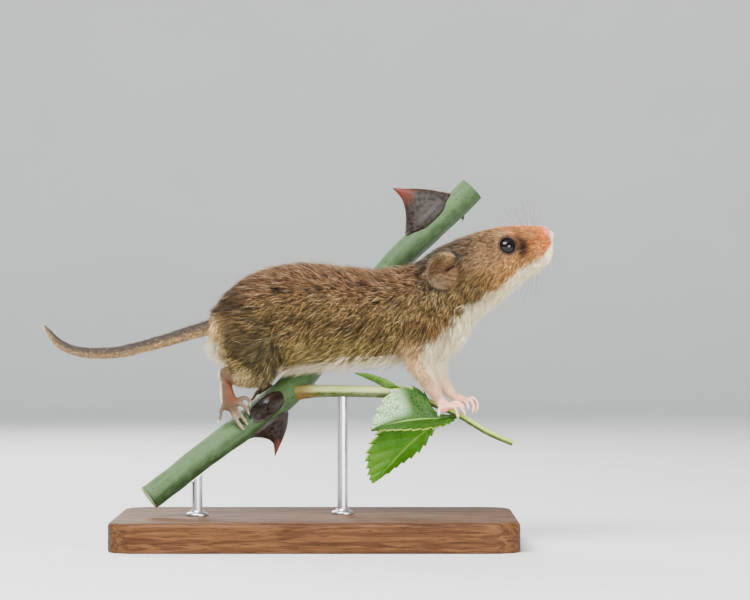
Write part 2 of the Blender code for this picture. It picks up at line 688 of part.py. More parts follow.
# Leaflets: midrib and the two edges from base to tip, each in x, y and z
LEAFLETS = {
    "perch_leaflet_upper": (
        ((23.8, -1.4, 21.7), (21.0, -2.2, 21.4), (17.2, -2.8, 21.2), (13.3, -3.1, 20.6), (9.4, -3.3, 19.6)),
        ((23.6, -1.4, 22.0), (20.0, -1.9, 22.6), (18.0, -2.0, 26.2), (13.4, -2.2, 26.7), (10.4, -2.8, 23.0),
         (9.3, -3.3, 19.9)),
        ((23.8, -1.6, 21.3), (21.6, -4.6, 20.2), (17.6, -7.0, 19.7), (13.0, -6.6, 19.6), (9.5, -3.4, 19.3)),
    ),
    "perch_leaflet_lower": (
        ((23.4, -0.2, 21.2), (19.3, 0.7, 19.6), (15.6, 0.9, 16.6), (12.2, 0.8, 13.0), (9.6, 0.6, 10.4)),
        ((23.2, -0.4, 21.4), (17.0, -0.7, 20.4), (11.0, -1.2, 19.2), (8.6, -0.6, 15.6), (8.8, 0.2, 12.2),
         (9.4, 0.6, 10.4)),
        ((23.6, 0.0, 21.0), (20.6, 2.0, 19.6), (17.8, 3.0, 15.8), (13.6, 2.2, 12.9), (9.8, 0.7, 10.3)),
    ),
}
LEAF_STEPS, LEAF_ACROSS = 9, 3


def leaflet(name, midrib, edge_a, edge_b):
    """A thin blade between a midrib and its two edges."""
    bm = bmesh.new()
    rows = []
    for i in range(LEAF_STEPS + 1):
        u = i / LEAF_STEPS
        spine, a, b = (Vector(smooth(line, u * (len(line) - 1))) for line in (midrib, edge_a, edge_b))
        row = [a.lerp(spine, k / LEAF_ACROSS) for k in range(LEAF_ACROSS)]
        row += [spine.lerp(b, k / LEAF_ACROSS) for k in range(LEAF_ACROSS + 1)]
        rows.append([bm.verts.new(p) for p in row])
    for low, high in zip(rows, rows[1:]):
        for j in range(2 * LEAF_ACROSS):
            bm.faces.new((low[j], low[j + 1], high[j + 1], high[j]))
    bmesh.ops.triangulate(bm, faces=bm.faces)
    bmesh.ops.recalc_face_normals(bm, faces=bm.faces)
    bmesh.ops.solidify(bm, geom=bm.faces[:], thickness=LEAF_THICK)
    return make_object(name, bm)


# Stand

def stand_base():
    bpy.ops.mesh.primitive_cube_add(size=1.0, location=(0, 0, BASE_HEIGHT / 2 * MM))
    base = bpy.context.object
    base.name = base.data.name = "stand_base"
    base.data.transform(Matrix.Diagonal((BASE_LENGTH * MM, BASE_DEPTH * MM, BASE_HEIGHT * MM, 1.0)))
    bm = bmesh.new()
    bm.from_mesh(base.data)
    upright = [e for e in bm.edges if abs(e.verts[0].co.z - e.verts[1].co.z) > MM]
    bmesh.ops.bevel(bm, geom=upright, offset=BASE_CORNER * MM, segments=5, profile=0.5, affect="EDGES")
    top = max(bm.faces, key=lambda f: f.calc_center_median().z)
    bmesh.ops.bevel(bm, geom=list(top.edges), offset=BASE_EDGE * MM, segments=2, profile=0.5, affect="EDGES")
    bm.to_mesh(base.data)
    bm.free()
    return base


def upright(name, x, y, low, high, radius, sides=14):
    bm = bmesh.new()
    bmesh.ops.create_cone(
        bm, cap_ends=True, segments=sides, radius1=radius, radius2=radius, depth=high - low
    )
    bm.transform(Matrix.Translation((x, y, (low + high) / 2)))
    return make_object(name, bm)


def stand():
    base = stand_base()
    for name, x in RODS:
        held = STEM if x < NODE_X else STALK
        s = min(places(0, len(held) - 1, 40), key=lambda s: abs(smooth(held, s)[0] - x))
        middle = Vector(smooth(held, s)[:3])
        keep_off = stem_part("keep_off", GAP) if x < NODE_X else stalk_part("keep_off", GAP)
        foot_level = BASE_HEIGHT - ROD_SINK
        rod = upright(name, x, middle.y, foot_level, middle.z, ROD_RADIUS)
        combine(rod, [keep_off], "DIFFERENCE")
        hole = upright("hole", x, middle.y, foot_level - GAP, BASE_HEIGHT + 2, ROD_RADIUS + GAP)
        combine(base, [hole], "DIFFERENCE")


# Assembly

def body():
    trunk, collar, skull = torso(), neck(), head()
    nose()
    combine(collar, [ear_pocket(1), ear_pocket(-1)], "DIFFERENCE")
    for side, sign in (("right", -1), ("left", 1)):
        eye(f"eye_{side}", sign)
        ear(f"ear_{side}", sign)
        hind = leg(f"hindleg_{side}", THIGHS[side], SHANKS[side])
        fore = leg(f"foreleg_{side}", UPPER_ARMS[side], FOREARMS[side])
        combine(trunk, [
            leg("hind_pocket", THIGHS[side], SHANKS[side], GAP),
            leg("fore_pocket", UPPER_ARMS[side], FOREARMS[side], GAP),
        ], "DIFFERENCE")
        for other in (collar, skull):
            combine(other, [leg("fore_pocket", UPPER_ARMS[side], FOREARMS[side], GAP)], "DIFFERENCE")
        toes, fingers = toe_paths(side), FINGERS[side]
        foot(f"hindfoot_{side}", HIND_FLATS[side], toes, TOE_RADIUS)
        foot(f"forefoot_{side}", FORE_FLATS[side], fingers, FINGER_RADIUS)
        combine(hind, [sole("keep_off", HIND_FLATS[side], GAP)], "DIFFERENCE")
        combine(fore, [sole("keep_off", FORE_FLATS[side], GAP)], "DIFFERENCE")
    combine(trunk, [tail_part("tail_pocket", 0, TAIL_POCKET, GAP)], "DIFFERENCE")
    tail()


def perch():
    perch_stem()
    perch_stalk()
    for name, lines in LEAFLETS.items():
        combine(leaflet(name, *lines), [stalk_part("keep_off", GAP)], "DIFFERENCE")


COLOURS = {
    "torso": (0.36, 0.2, 0.09), "neck": (0.38, 0.22, 0.1), "head": (0.42, 0.24, 0.11),
    "nose": (0.75, 0.35, 0.3), "eye": (0.01, 0.01, 0.012), "ear": (0.42, 0.26, 0.17),
    "hindleg": (0.36, 0.22, 0.1), "foreleg": (0.5, 0.33, 0.2), "hindfoot": (0.62, 0.42, 0.36),
    "forefoot": (0.72, 0.5, 0.44), "tail": (0.3, 0.22, 0.17), "perch_stem": (0.2, 0.36, 0.18),
    "perch_stalk": (0.42, 0.48, 0.08), "perch_leaflet": (0.1, 0.3, 0.03), "stand_base": (0.35, 0.2, 0.1),
    "stand_rod": (0.6, 0.6, 0.62),
}


def finish(obj):
    """Gives an object its material and its shading."""
    key = max((k for k in COLOURS if obj.name.startswith(k)), key=len)
    material = bpy.data.materials.get(key) or bpy.data.materials.new(key)
    material.use_nodes = True
    shader = material.node_tree.nodes["Principled BSDF"]
    shader.inputs["Base Color"].default_value = (*COLOURS[key], 1.0)
    shader.inputs["Roughness"].default_value = {"eye": 0.08, "stand_rod": 0.3}.get(key, 0.75)
    shader.inputs["Metallic"].default_value = 1.0 if key == "stand_rod" else 0.0
    obj.data.materials.clear()
    obj.data.materials.append(material)
    obj.data.shade_smooth()
    obj.data.set_sharp_from_angle(angle=math.radians(40))


def main():
    for obj in list(bpy.data.objects):
        bpy.data.objects.remove(obj)
    body()
    perch()
    stand()
    parts = bpy.data.collections.new("harvest_mouse")
    bpy.context.scene.collection.children.link(parts)
    for obj in list(bpy.context.scene.collection.objects):
        finish(obj)
        bpy.context.scene.collection.objects.unlink(obj)
        parts.objects.link(obj)


main()
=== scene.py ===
import math
import time

import bmesh
import bpy
import numpy as np
from mathutils import Matrix, Vector
from mathutils.bvhtree import BVHTree
from mathutils.kdtree import KDTree


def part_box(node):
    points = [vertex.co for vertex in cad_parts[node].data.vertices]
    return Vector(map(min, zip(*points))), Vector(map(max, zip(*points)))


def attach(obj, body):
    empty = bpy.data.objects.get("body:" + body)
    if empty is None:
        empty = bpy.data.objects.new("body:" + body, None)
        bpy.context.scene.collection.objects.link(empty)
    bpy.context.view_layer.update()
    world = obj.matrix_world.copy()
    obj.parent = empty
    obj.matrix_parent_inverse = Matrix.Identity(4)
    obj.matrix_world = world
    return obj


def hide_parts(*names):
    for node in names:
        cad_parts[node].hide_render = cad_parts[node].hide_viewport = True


# A harvest mouse reaching out along a cut rose stem, on a display stand.
# Lengths are in millimetres until a mesh is made. +X is forward, +Y the animal's left, +Z up.
mm = 0.001
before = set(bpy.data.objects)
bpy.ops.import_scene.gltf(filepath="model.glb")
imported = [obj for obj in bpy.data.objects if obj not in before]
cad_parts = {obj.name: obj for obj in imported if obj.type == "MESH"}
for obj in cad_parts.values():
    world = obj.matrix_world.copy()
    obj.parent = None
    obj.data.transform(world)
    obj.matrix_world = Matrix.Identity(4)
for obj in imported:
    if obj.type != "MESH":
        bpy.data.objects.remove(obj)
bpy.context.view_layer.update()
started = time.time()


def stage(text):
    print(f"{text}: {time.time() - started:.0f} s")


stage("frame loaded")

# camera: the photograph's level side view
view = {"x": 10.03, "y": -531.0, "z": 41.48, "lens": 150.0}
cameraData = bpy.data.cameras.new("camera")
cameraData.lens = view["lens"]
cameraData.clip_start = 0.01
camera = bpy.data.objects.new("camera", cameraData)
camera.location = Vector((view["x"], view["y"], view["z"])) * mm
camera.rotation_euler = (math.pi / 2, 0.0, 0.0)
bpy.context.scene.collection.objects.link(camera)
bpy.context.scene.camera = camera

# the animal's middle lines, repeated from the solids: x, z, half height, half width, lean, low fullness
trunkLine = [
    (-17.9, 36.8, 0.9, 0.9, 3.0, 0.00), (-17.3, 36.8, 3.0, 3.1, 3.0, 0.00), (-16.0, 36.8, 5.3, 5.5, 3.0, 0.03),
    (-13.1, 37.1, 7.6, 7.9, 2.5, 0.06), (-9.0, 37.9, 8.7, 9.1, 0.0, 0.08), (-2.9, 38.8, 9.0, 9.3, 2.0, 0.10),
    (4.1, 38.8, 8.4, 8.6, 1.0, 0.10), (10.4, 38.8, 7.9, 7.8, -2.0, 0.09), (16.1, 39.3, 7.9, 7.5, -6.5, 0.07),
    (20.6, 41.0, 8.1, 7.0, -17.5, 0.05), (23.6, 43.8, 7.4, 6.7, -20.0, 0.06), (26.6, 45.8, 6.8, 6.7, -20.0, 0.09),
    (30.1, 47.6, 6.2, 6.4, -19.0, 0.11), (33.5, 49.3, 5.1, 5.3, -17.5, 0.10), (36.4, 50.1, 4.3, 4.1, -14.0, 0.06),
    (38.5, 50.6, 3.6, 3.2, -8.0, 0.04), (39.6, 50.9, 2.9, 2.4, -4.0, 0.02), (40.15, 51.1, 1.7, 1.3, -3.0, 0.00),
]
# x, y, z and radius from the rump to the tip
tailLine = [
    (-14.6, 0.0, 37.6, 1.6), (-17.6, 0.0, 37.0, 1.5), (-21.2, 0.1, 36.0, 1.32), (-25.4, 0.5, 34.7, 1.25),
    (-29.4, 1.0, 33.6, 1.22), (-33.7, 1.6, 32.6, 1.18), (-38.4, 2.5, 32.4, 1.1), (-42.0, 3.3, 33.0, 1.0),
    (-44.4, 4.0, 34.3, 0.88), (-45.8, 4.5, 35.9, 0.66), (-46.7, 4.8, 37.1, 0.42),
]
# x, y, z, and the two radii, from the hip or shoulder to the foot
hindLines = {
    "right": [(-12.4, -4.8, 38.4, 3.3, 3.0), (-11.7, -5.6, 36.4, 4.9, 3.9), (-10.2, -6.6, 32.8, 4.8, 3.6),
              (-8.6, -7.0, 29.7, 2.9, 2.6), (-11.2, -6.5, 29.0, 2.4, 2.2), (-13.4, -5.7, 29.0, 1.8, 1.6),
              (-15.2, -5.2, 29.0, 1.2, 1.15)],
    "left": [(-12.0, 4.8, 38.8, 3.3, 3.0), (-10.9, 5.8, 37.2, 4.8, 3.8), (-8.6, 7.4, 34.4, 4.5, 3.4),
             (-6.95, 8.45, 32.1, 2.8, 2.55), (-7.7, 8.0, 30.4, 2.2, 2.1), (-8.7, 7.4, 29.1, 1.6, 1.5),
             (-9.4, 6.9, 28.4, 1.15, 1.1)],
}
foreLines = {
    "right": [(20.0, -4.6, 38.8, 3.0, 2.4), (18.6, -5.2, 36.0, 3.2, 2.6), (17.5, -5.0, 32.8, 2.8, 2.2),
              (17.1, -4.7, 31.1, 2.4, 2.0), (18.4, -4.2, 28.9, 1.8, 1.6), (19.6, -3.6, 26.9, 1.4, 1.25),
              (20.7, -3.1, 25.2, 1.05, 0.95)],
    "left": [(21.6, 4.6, 38.8, 3.0, 2.4), (21.0, 5.1, 36.2, 3.1, 2.5), (20.4, 4.6, 33.2, 2.7, 2.2),
             (20.0, 4.25, 31.4, 2.2, 1.9), (20.9, 3.6, 28.8, 1.5, 1.4), (21.9, 2.7, 26.9, 1.15, 1.05),
             (23.1, 1.7, 25.4, 0.95, 0.88)],
}
hindSoles = {
    "right": [(-15.5, -5.1, 29.0, 1.15, 1.1), (-15.1, -4.95, 27.3, 1.15, 1.0), (-14.9, -4.8, 25.6, 1.35, 0.85),
              (-14.4, -4.6, 23.9, 1.65, 0.75)],
    "left": [(-9.5, 6.9, 28.7, 1.1, 1.05), (-9.4, 6.8, 27.8, 1.05, 0.95), (-9.1, 6.6, 26.9, 1.2, 0.8),
             (-8.7, 6.4, 26.1, 1.55, 0.75)],
}
foreSoles = {
    "right": [(20.8, -3.0, 25.1, 1.0, 0.92), (21.2, -2.9, 24.2, 1.0, 0.85), (21.9, -2.9, 23.4, 1.15, 0.7)],
    "left": [(23.2, 1.6, 25.4, 0.92, 0.85), (24.0, 1.2, 24.8, 0.95, 0.78), (24.9, 0.9, 24.3, 1.05, 0.68)],
}
# root, knuckle, pad and claw tip of each digit
toes = {
    "hind_right": [[(-13.4, -4.3, 24.5), (-12.2, -4.0, 25.0), (-11.4, -0.48, 24.5), (-11.0, -1.53, 23.4)],
                   [(-13.4, -4.5, 24.0), (-12.4, -4.6, 23.9), (-11.7, -2.08, 23.0), (-11.2, -2.41, 22.0)],
                   [(-13.7, -4.6, 23.4), (-12.9, -4.5, 22.5), (-12.1, -3.08, 21.3), (-11.5, -2.97, 20.4)],
                   [(-14.3, -4.6, 23.0), (-13.7, -4.5, 21.9), (-12.8, -3.51, 20.4), (-12.1, -3.2, 19.5)],
                   [(-15.2, -4.7, 23.9), (-15.9, -4.4, 22.9), (-16.3, -0.96, 21.4), (-16.7, -1.3, 20.6)]],
    "hind_left": [[(-7.8, 6.4, 26.4), (-7.1, 6.7, 26.2), (-6.8, 7.05, 25.4), (-6.8, 6.45, 24.5)],
                  [(-8.0, 6.5, 25.9), (-7.7, 6.7, 25.2), (-7.6, 6.36, 24.3), (-7.7, 5.68, 23.4)],
                  [(-8.6, 6.5, 25.5), (-8.6, 6.4, 24.6), (-8.7, 5.57, 23.6), (-8.9, 4.92, 22.7)],
                  [(-9.2, 6.4, 25.5), (-9.6, 6.1, 24.6), (-9.9, 4.85, 23.5), (-10.2, 4.2, 22.6)],
                  [(-9.6, 6.4, 26.2), (-10.4, 5.9, 25.5), (-11.0, 3.58, 24.3), (-11.4, 3.35, 23.3)]],
    "fore_right": [[(21.3, -3.2, 23.6), (20.9, -3.6, 23.1), (20.8, -3.7, 22.4), (20.8, -3.7, 21.8)],
                   [(22.3, -3.3, 23.4), (23.3, -3.5, 23.4), (23.9, -3.4, 22.4), (24.1, -3.1, 21.3)],
                   [(22.6, -2.9, 23.6), (24.0, -2.8, 23.6), (24.9, -2.6, 22.8), (25.4, -2.4, 21.8)],
                   [(22.5, -2.5, 23.8), (23.7, -2.1, 24.2), (24.7, -2.0, 23.8), (25.2, -1.9, 23.0)]],
    "fore_left": [[(25.1, 1.4, 24.4), (26.2, 1.7, 24.7), (27.1, 1.6, 23.7), (26.9, 1.2, 22.3)],
                  [(25.4, 1.0, 24.5), (26.7, 0.9, 24.8), (27.5, 0.8, 23.7), (27.1, 0.6, 22.2)],
                  [(25.2, 0.6, 24.4), (26.2, 0.1, 24.5), (26.8, -0.1, 23.5), (26.5, -0.2, 22.2)],
                  [(24.8, 0.4, 24.2), (25.5, -0.4, 24.1), (25.8, -0.7, 23.4), (25.8, -0.8, 22.8)]],
}
# share of a digit's length, and its thickness there as a share of its size: swollen at knuckle, joint and pad
digitShape = [(0.0, 1.12), (0.16, 1.0), (0.32, 1.12), (0.46, 0.94), (0.56, 1.02), (0.66, 0.9), (0.76, 1.12),
              (0.84, 0.95)]
clawShape = [(0.74, 0.5), (0.82, 0.46), (0.89, 0.32), (0.95, 0.17), (1.0, 0.04)]
digitSize = {"hind": 0.47, "fore": 0.39}
chunk = 20000  # points worked on at a time
farOff = 99.0  # stands for a distance that doesn't matter


def alongCurve(table, s):  # row of a table at place s, on a smooth curve through its rows
    last = len(table) - 1
    i = min(int(max(s, 0.0)), last - 1)
    t = min(max(s, 0.0), last) - i
    p0, p1 = table[max(i - 1, 0)], table[i]
    p2, p3 = table[i + 1], table[min(i + 2, last)]
    return [0.5 * (2 * b + (c - a) * t + (2 * a - 5 * b + 4 * c - d) * t**2 + (3 * b - a - 3 * c + d) * t**3)
            for a, b, c, d in zip(p0, p1, p2, p3)]


def wayAlong(table, s, step=0.05):
    return (Vector(alongCurve(table, s + step)[:3]) - Vector(alongCurve(table, s - step)[:3])).normalized()


def denseLine(table, perRow=10):
    return np.array([alongCurve(table, k / perRow) for k in range((len(table) - 1) * perRow + 1)])


def nearestOn(line, points):  # index of the nearest point of a line, and the distance
    best = np.zeros(len(points), int)
    reach = np.zeros(len(points))
    for start in range(0, len(points), chunk):
        part = points[start:start + chunk]
        gap = ((part[:, None, :] - line[None, :, :]) ** 2).sum(2)
        best[start:start + chunk] = gap.argmin(1)
        reach[start:start + chunk] = np.sqrt(gap.min(1))
    return best, reach


def unit(a):
    return a / np.maximum(np.linalg.norm(a, axis=-1, keepdims=True), 1e-9)


def step01(low, high, x):
    t = np.clip((x - low) / (high - low), 0.0, 1.0)
    return t * t * (3 - 2 * t)


def meshPoints(mesh):
    co = np.empty(len(mesh.vertices) * 3, np.float32)
    mesh.vertices.foreach_get("co", co)
    return co.reshape(-1, 3).astype(float) / mm


def meshNormals(mesh):
    no = np.empty(len(mesh.vertices) * 3, np.float32)
    mesh.vertex_normals.foreach_get("vector", no)
    return no.reshape(-1, 3).astype(float)


def setPoints(mesh, points):
    mesh.vertices.foreach_set("co", (points * mm).astype(np.float32).ravel())
    mesh.update()


def pieceFrom(name, mesh):
    piece = bpy.data.objects.new(name, mesh)
    bpy.context.scene.collection.objects.link(piece)
    return piece


def meshFromBm(name, bm):  # bm is in millimetres
    mesh = bpy.data.meshes.new(name)
    bm.transform(Matrix.Scale(mm, 4))
    bm.to_mesh(mesh)
    bm.free()
    mesh.shade_smooth()
    return mesh


def ringsToBm(bm, rings, segments):  # a closed tube through rings; returns the faces at its ends
    loops = []
    for middle, across, side, wide, deep in rings:
        made = bmesh.ops.create_circle(bm, segments=segments, radius=1.0)["verts"]
        place = Matrix.Identity(4)
        for row in range(3):
            place[row][0], place[row][1], place[row][3] = across[row] * wide, side[row] * deep, middle[row]
            place[row][2] = across.cross(side)[row]
        bmesh.ops.transform(bm, matrix=place, verts=made)
        loops.append(list({edge for vert in made for edge in vert.link_edges}))
    for low, high in zip(loops, loops[1:]):
        bmesh.ops.bridge_loops(bm, edges=low + high)
    ends = bmesh.ops.holes_fill(bm, edges=loops[0] + loops[-1], sides=0)["faces"]
    bmesh.ops.recalc_face_normals(bm, faces=bm.faces)
    return ends


def lineRings(table, count, start=0.0, sideWay=Vector((0, 1, 0))):  # rings along a table's rows from start on
    rings = []
    for k in range(count + 1):
        s = start + (len(table) - 1 - start) * k / count
        row, along = alongCurve(table, s), wayAlong(table, s)
        side = (sideWay - along * along.dot(sideWay)).normalized()
        rings.append((Vector(row[:3]), along.cross(side), side, row[3], row[-1]))
    return rings


def digitRings(path, shape, radius, count, squash=0.92):  # rings along a digit or claw
    gaps = [math.dist(a, b) for a, b in zip(path, path[1:])]
    shares, factors = zip(*shape)
    rings = []
    for k in range(count + 1):
        share = shares[0] + (shares[-1] - shares[0]) * k / count
        far, i = share * sum(gaps), 0
        while i < len(gaps) - 1 and far > gaps[i]:
            far, i = far - gaps[i], i + 1
        s = i + far / gaps[i]
        along = wayAlong(path, s, 0.06)
        side = along.cross(Vector((1, 0.2, 0.3))).normalized()
        wide = radius * float(np.interp(share, shares, factors))
        rings.append((Vector(alongCurve(path, s)), side.cross(along), side, wide * squash, wide))
    return rings


def roundEnds(rings, turns):  # rounded caps on both ends, with a ring at each of these turns
    for at, towards in ((0, 1), (-1, -2)):
        middle, across, side, wide, deep = rings[at]
        out = (middle - rings[towards][0]).normalized() * (wide + deep) / 2
        caps = [(middle + out * math.sin(a), across, side, wide * math.cos(a), deep * math.cos(a)) for a in turns]
        rings = caps[::-1] + rings if at == 0 else rings + caps
    return rings


# flesh: the solids joined, with finer feet, and closed over their gaps
flesh = {"voxel": 0.15, "swell": 0.22, "triangles": 186000, "soleSides": 20, "soleRings": 20, "toeSides": 14,
         "toeRings": 14}
furredNodes = ("head", "neck", "torso", "foreleg_left", "foreleg_right", "hindleg_left", "hindleg_right", "nose",
               "tail_root", "tail_middle", "tail_tip", "ear_left", "ear_right")


def meshWithModifiers(piece):  # its mesh with the modifiers done; the object itself goes
    mesh = bpy.data.meshes.new_from_object(piece.evaluated_get(bpy.context.evaluated_depsgraph_get()))
    bpy.data.objects.remove(piece)
    return mesh


def fleshMesh():
    bm = bmesh.new()
    for name in furredNodes:
        part = bmesh.new()
        part.from_mesh(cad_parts[name].data)
        bmesh.ops.remove_doubles(part, verts=part.verts, dist=1e-6)
        part.normal_update()
        moves = [(vert, vert.co + vert.normal * flesh["swell"] * mm) for vert in part.verts]
        for vert, place in moves:
            vert.co = place
        mesh = bpy.data.meshes.new("part")
        part.to_mesh(mesh)
        part.free()
        bm.from_mesh(mesh)
        bpy.data.meshes.remove(mesh)
    bm.transform(Matrix.Scale(1 / mm, 4))
    for soles, legs, kind in ((hindSoles, hindLines, "hind"), (foreSoles, foreLines, "fore")):
        for sideName, sole in soles.items():
            table = [legs[sideName][-2], legs[sideName][-1] if kind == "fore" else sole[0], *sole[1:]]
            rings = lineRings(table, flesh["soleRings"])
            ringsToBm(bm, roundEnds(rings, (0.6, 1.1, 1.45)), flesh["soleSides"])
            for path in toes[kind + "_" + sideName]:
                rings = digitRings(path, digitShape, digitSize[kind], flesh["toeRings"])
                ringsToBm(bm, roundEnds(rings, (0.5, 1.0, 1.4)), flesh["toeSides"])
    body = pieceFrom("flesh", meshFromBm("flesh", bm))
    remesh = body.modifiers.new("close", "REMESH")
    remesh.mode = "VOXEL"
    remesh.voxel_size = flesh["voxel"] * mm
    return meshWithModifiers(body)


skinMesh = fleshMesh()
stage(f"flesh joined, {len(skinMesh.polygons)} faces")


# where on the animal each point is: place along the trunk, turn round it, legs, tail, ears, eyes, nose
def coatY(x, z):  # half width of the trunk at this x and z
    def away(s):
        row = alongCurve(trunkLine, s)
        lean = math.radians(row[4])
        return abs((x - row[0]) * math.cos(lean) - (z - row[1]) * math.sin(lean))
    s = min((1.0 + k / 20 for k in range(20 * (len(trunkLine) - 2) + 1)), key=away)
    row = alongCurve(trunkLine, s)
    lean = math.radians(row[4])
    share = ((x - row[0]) * math.sin(lean) + (z - row[1]) * math.cos(lean)) / row[2]
    share = max(-1.0, min(1.0, share))
    return row[3] * math.sqrt(1 - share**2) * (1 - row[5] * share)


eyes = {"x": 32.3, "z": 50.6, "radius": 1.45, "sunk": 0.55, "look": (0.26, 0.93, 0.25), "round": 48, "high": 32}
ears = {"x": 21.6, "z": 46.4, "out": 0.9, "opens": (0.3, 0.93, 0.1), "radius": 3.2}
noseTip = Vector((39.7, 0.0, 52.4))
sides = {"right": -1, "left": 1}


def eyePlace(side):
    look = Vector((eyes["look"][0], eyes["look"][1] * side, eyes["look"][2])).normalized()
    return Vector((eyes["x"], side * coatY(eyes["x"], eyes["z"]), eyes["z"])) - look * eyes["sunk"], look


def earPlace(side):  # middle of the rim, and the ways out, forward and up
    out = Vector((ears["opens"][0], ears["opens"][1] * side, ears["opens"][2])).normalized()
    ahead = (Vector((1, 0, 0)) - out * out.x).normalized()
    up = out.cross(ahead) * (1 if out.cross(ahead).z > 0 else -1)
    return Vector((ears["x"], side * (coatY(ears["x"], ears["z"]) + ears["out"]), ears["z"])), out, ahead, up


trunkDense = denseLine(trunkLine)
trunkMiddle = np.stack([trunkDense[:, 0], 0 * trunkDense[:, 0], trunkDense[:, 1]], 1)
lean = np.radians(trunkDense[:, 4])
trunkUp = np.stack([np.sin(lean), 0 * lean, np.cos(lean)], 1)
trunkAhead = np.stack([np.cos(lean), 0 * lean, -np.sin(lean)], 1)
trunkBack = -unit(np.gradient(trunkMiddle, axis=0))
limbSteps, soleSteps, digitSteps = 8, 6, 5  # points on each row of a line
digitCount = 3 * digitSteps + 1
limbs = {"tail": denseLine(tailLine, limbSteps)}
digitPoints = {name: np.concatenate([denseLine(path, digitSteps) for path in paths]) for name, paths in toes.items()}
for sideName in sides:
    limbs["hind_" + sideName] = denseLine(hindLines[sideName], limbSteps)
    limbs["fore_" + sideName] = denseLine(foreLines[sideName], limbSteps)
    limbs["hindsole_" + sideName] = denseLine(hindSoles[sideName], soleSteps)
    limbs["foresole_" + sideName] = denseLine(foreSoles[sideName], soleSteps)

# by place along the trunk, 0 rump to 17 nose
coat = {
    "depth": [(0, 1.0), (2, 1.2), (5, 1.15), (8, 1.0), (9, 0.85), (10, 0.7), (11, 0.55), (12, 0.45), (13, 0.38),
              (14, 0.3), (15, 0.22), (16, 0.14), (17, 0.05)],
    "length": [(0, 2.0), (2, 2.1), (6, 1.95), (8, 1.85), (9, 1.75), (10, 1.6), (11, 1.4), (12, 1.25), (13, 1.1),
               (14, 0.95), (15, 0.75), (16, 0.5), (17, 0.3)],
    "droop": [(0, 1.5), (1, 1.2), (2, 0.9), (4, 0.62), (6, 0.62), (7.5, 0.8), (8.5, 0.85), (9.5, 0.6), (11, 0.45),
              (13, 0.3), (17, 0.15)],
    "ridgeLift": 0.6, "earDepth": 0.06, "earLength": 0.8,
    "hindDepth": [(0, 1.15), (1, 1.15), (2, 1.05), (3, 0.8), (4, 0.4), (5, 0.14), (6, 0.03)],
    "foreDepth": [(0, 0.9), (1, 0.8), (2, 0.6), (3, 0.45), (4, 0.26), (5, 0.12), (6, 0.04)],
    "hindLength": [(0, 2.6), (2, 2.4), (3, 2.2), (4, 1.3), (5, 0.6), (6, 0.35)],
    "foreLength": [(0, 2.2), (1, 2.0), (2, 1.6), (3, 1.2), (4, 0.8), (5, 0.5), (6, 0.35)],
}


def readTable(table, s):
    places, values = zip(*table)
    return np.interp(s, places, values)


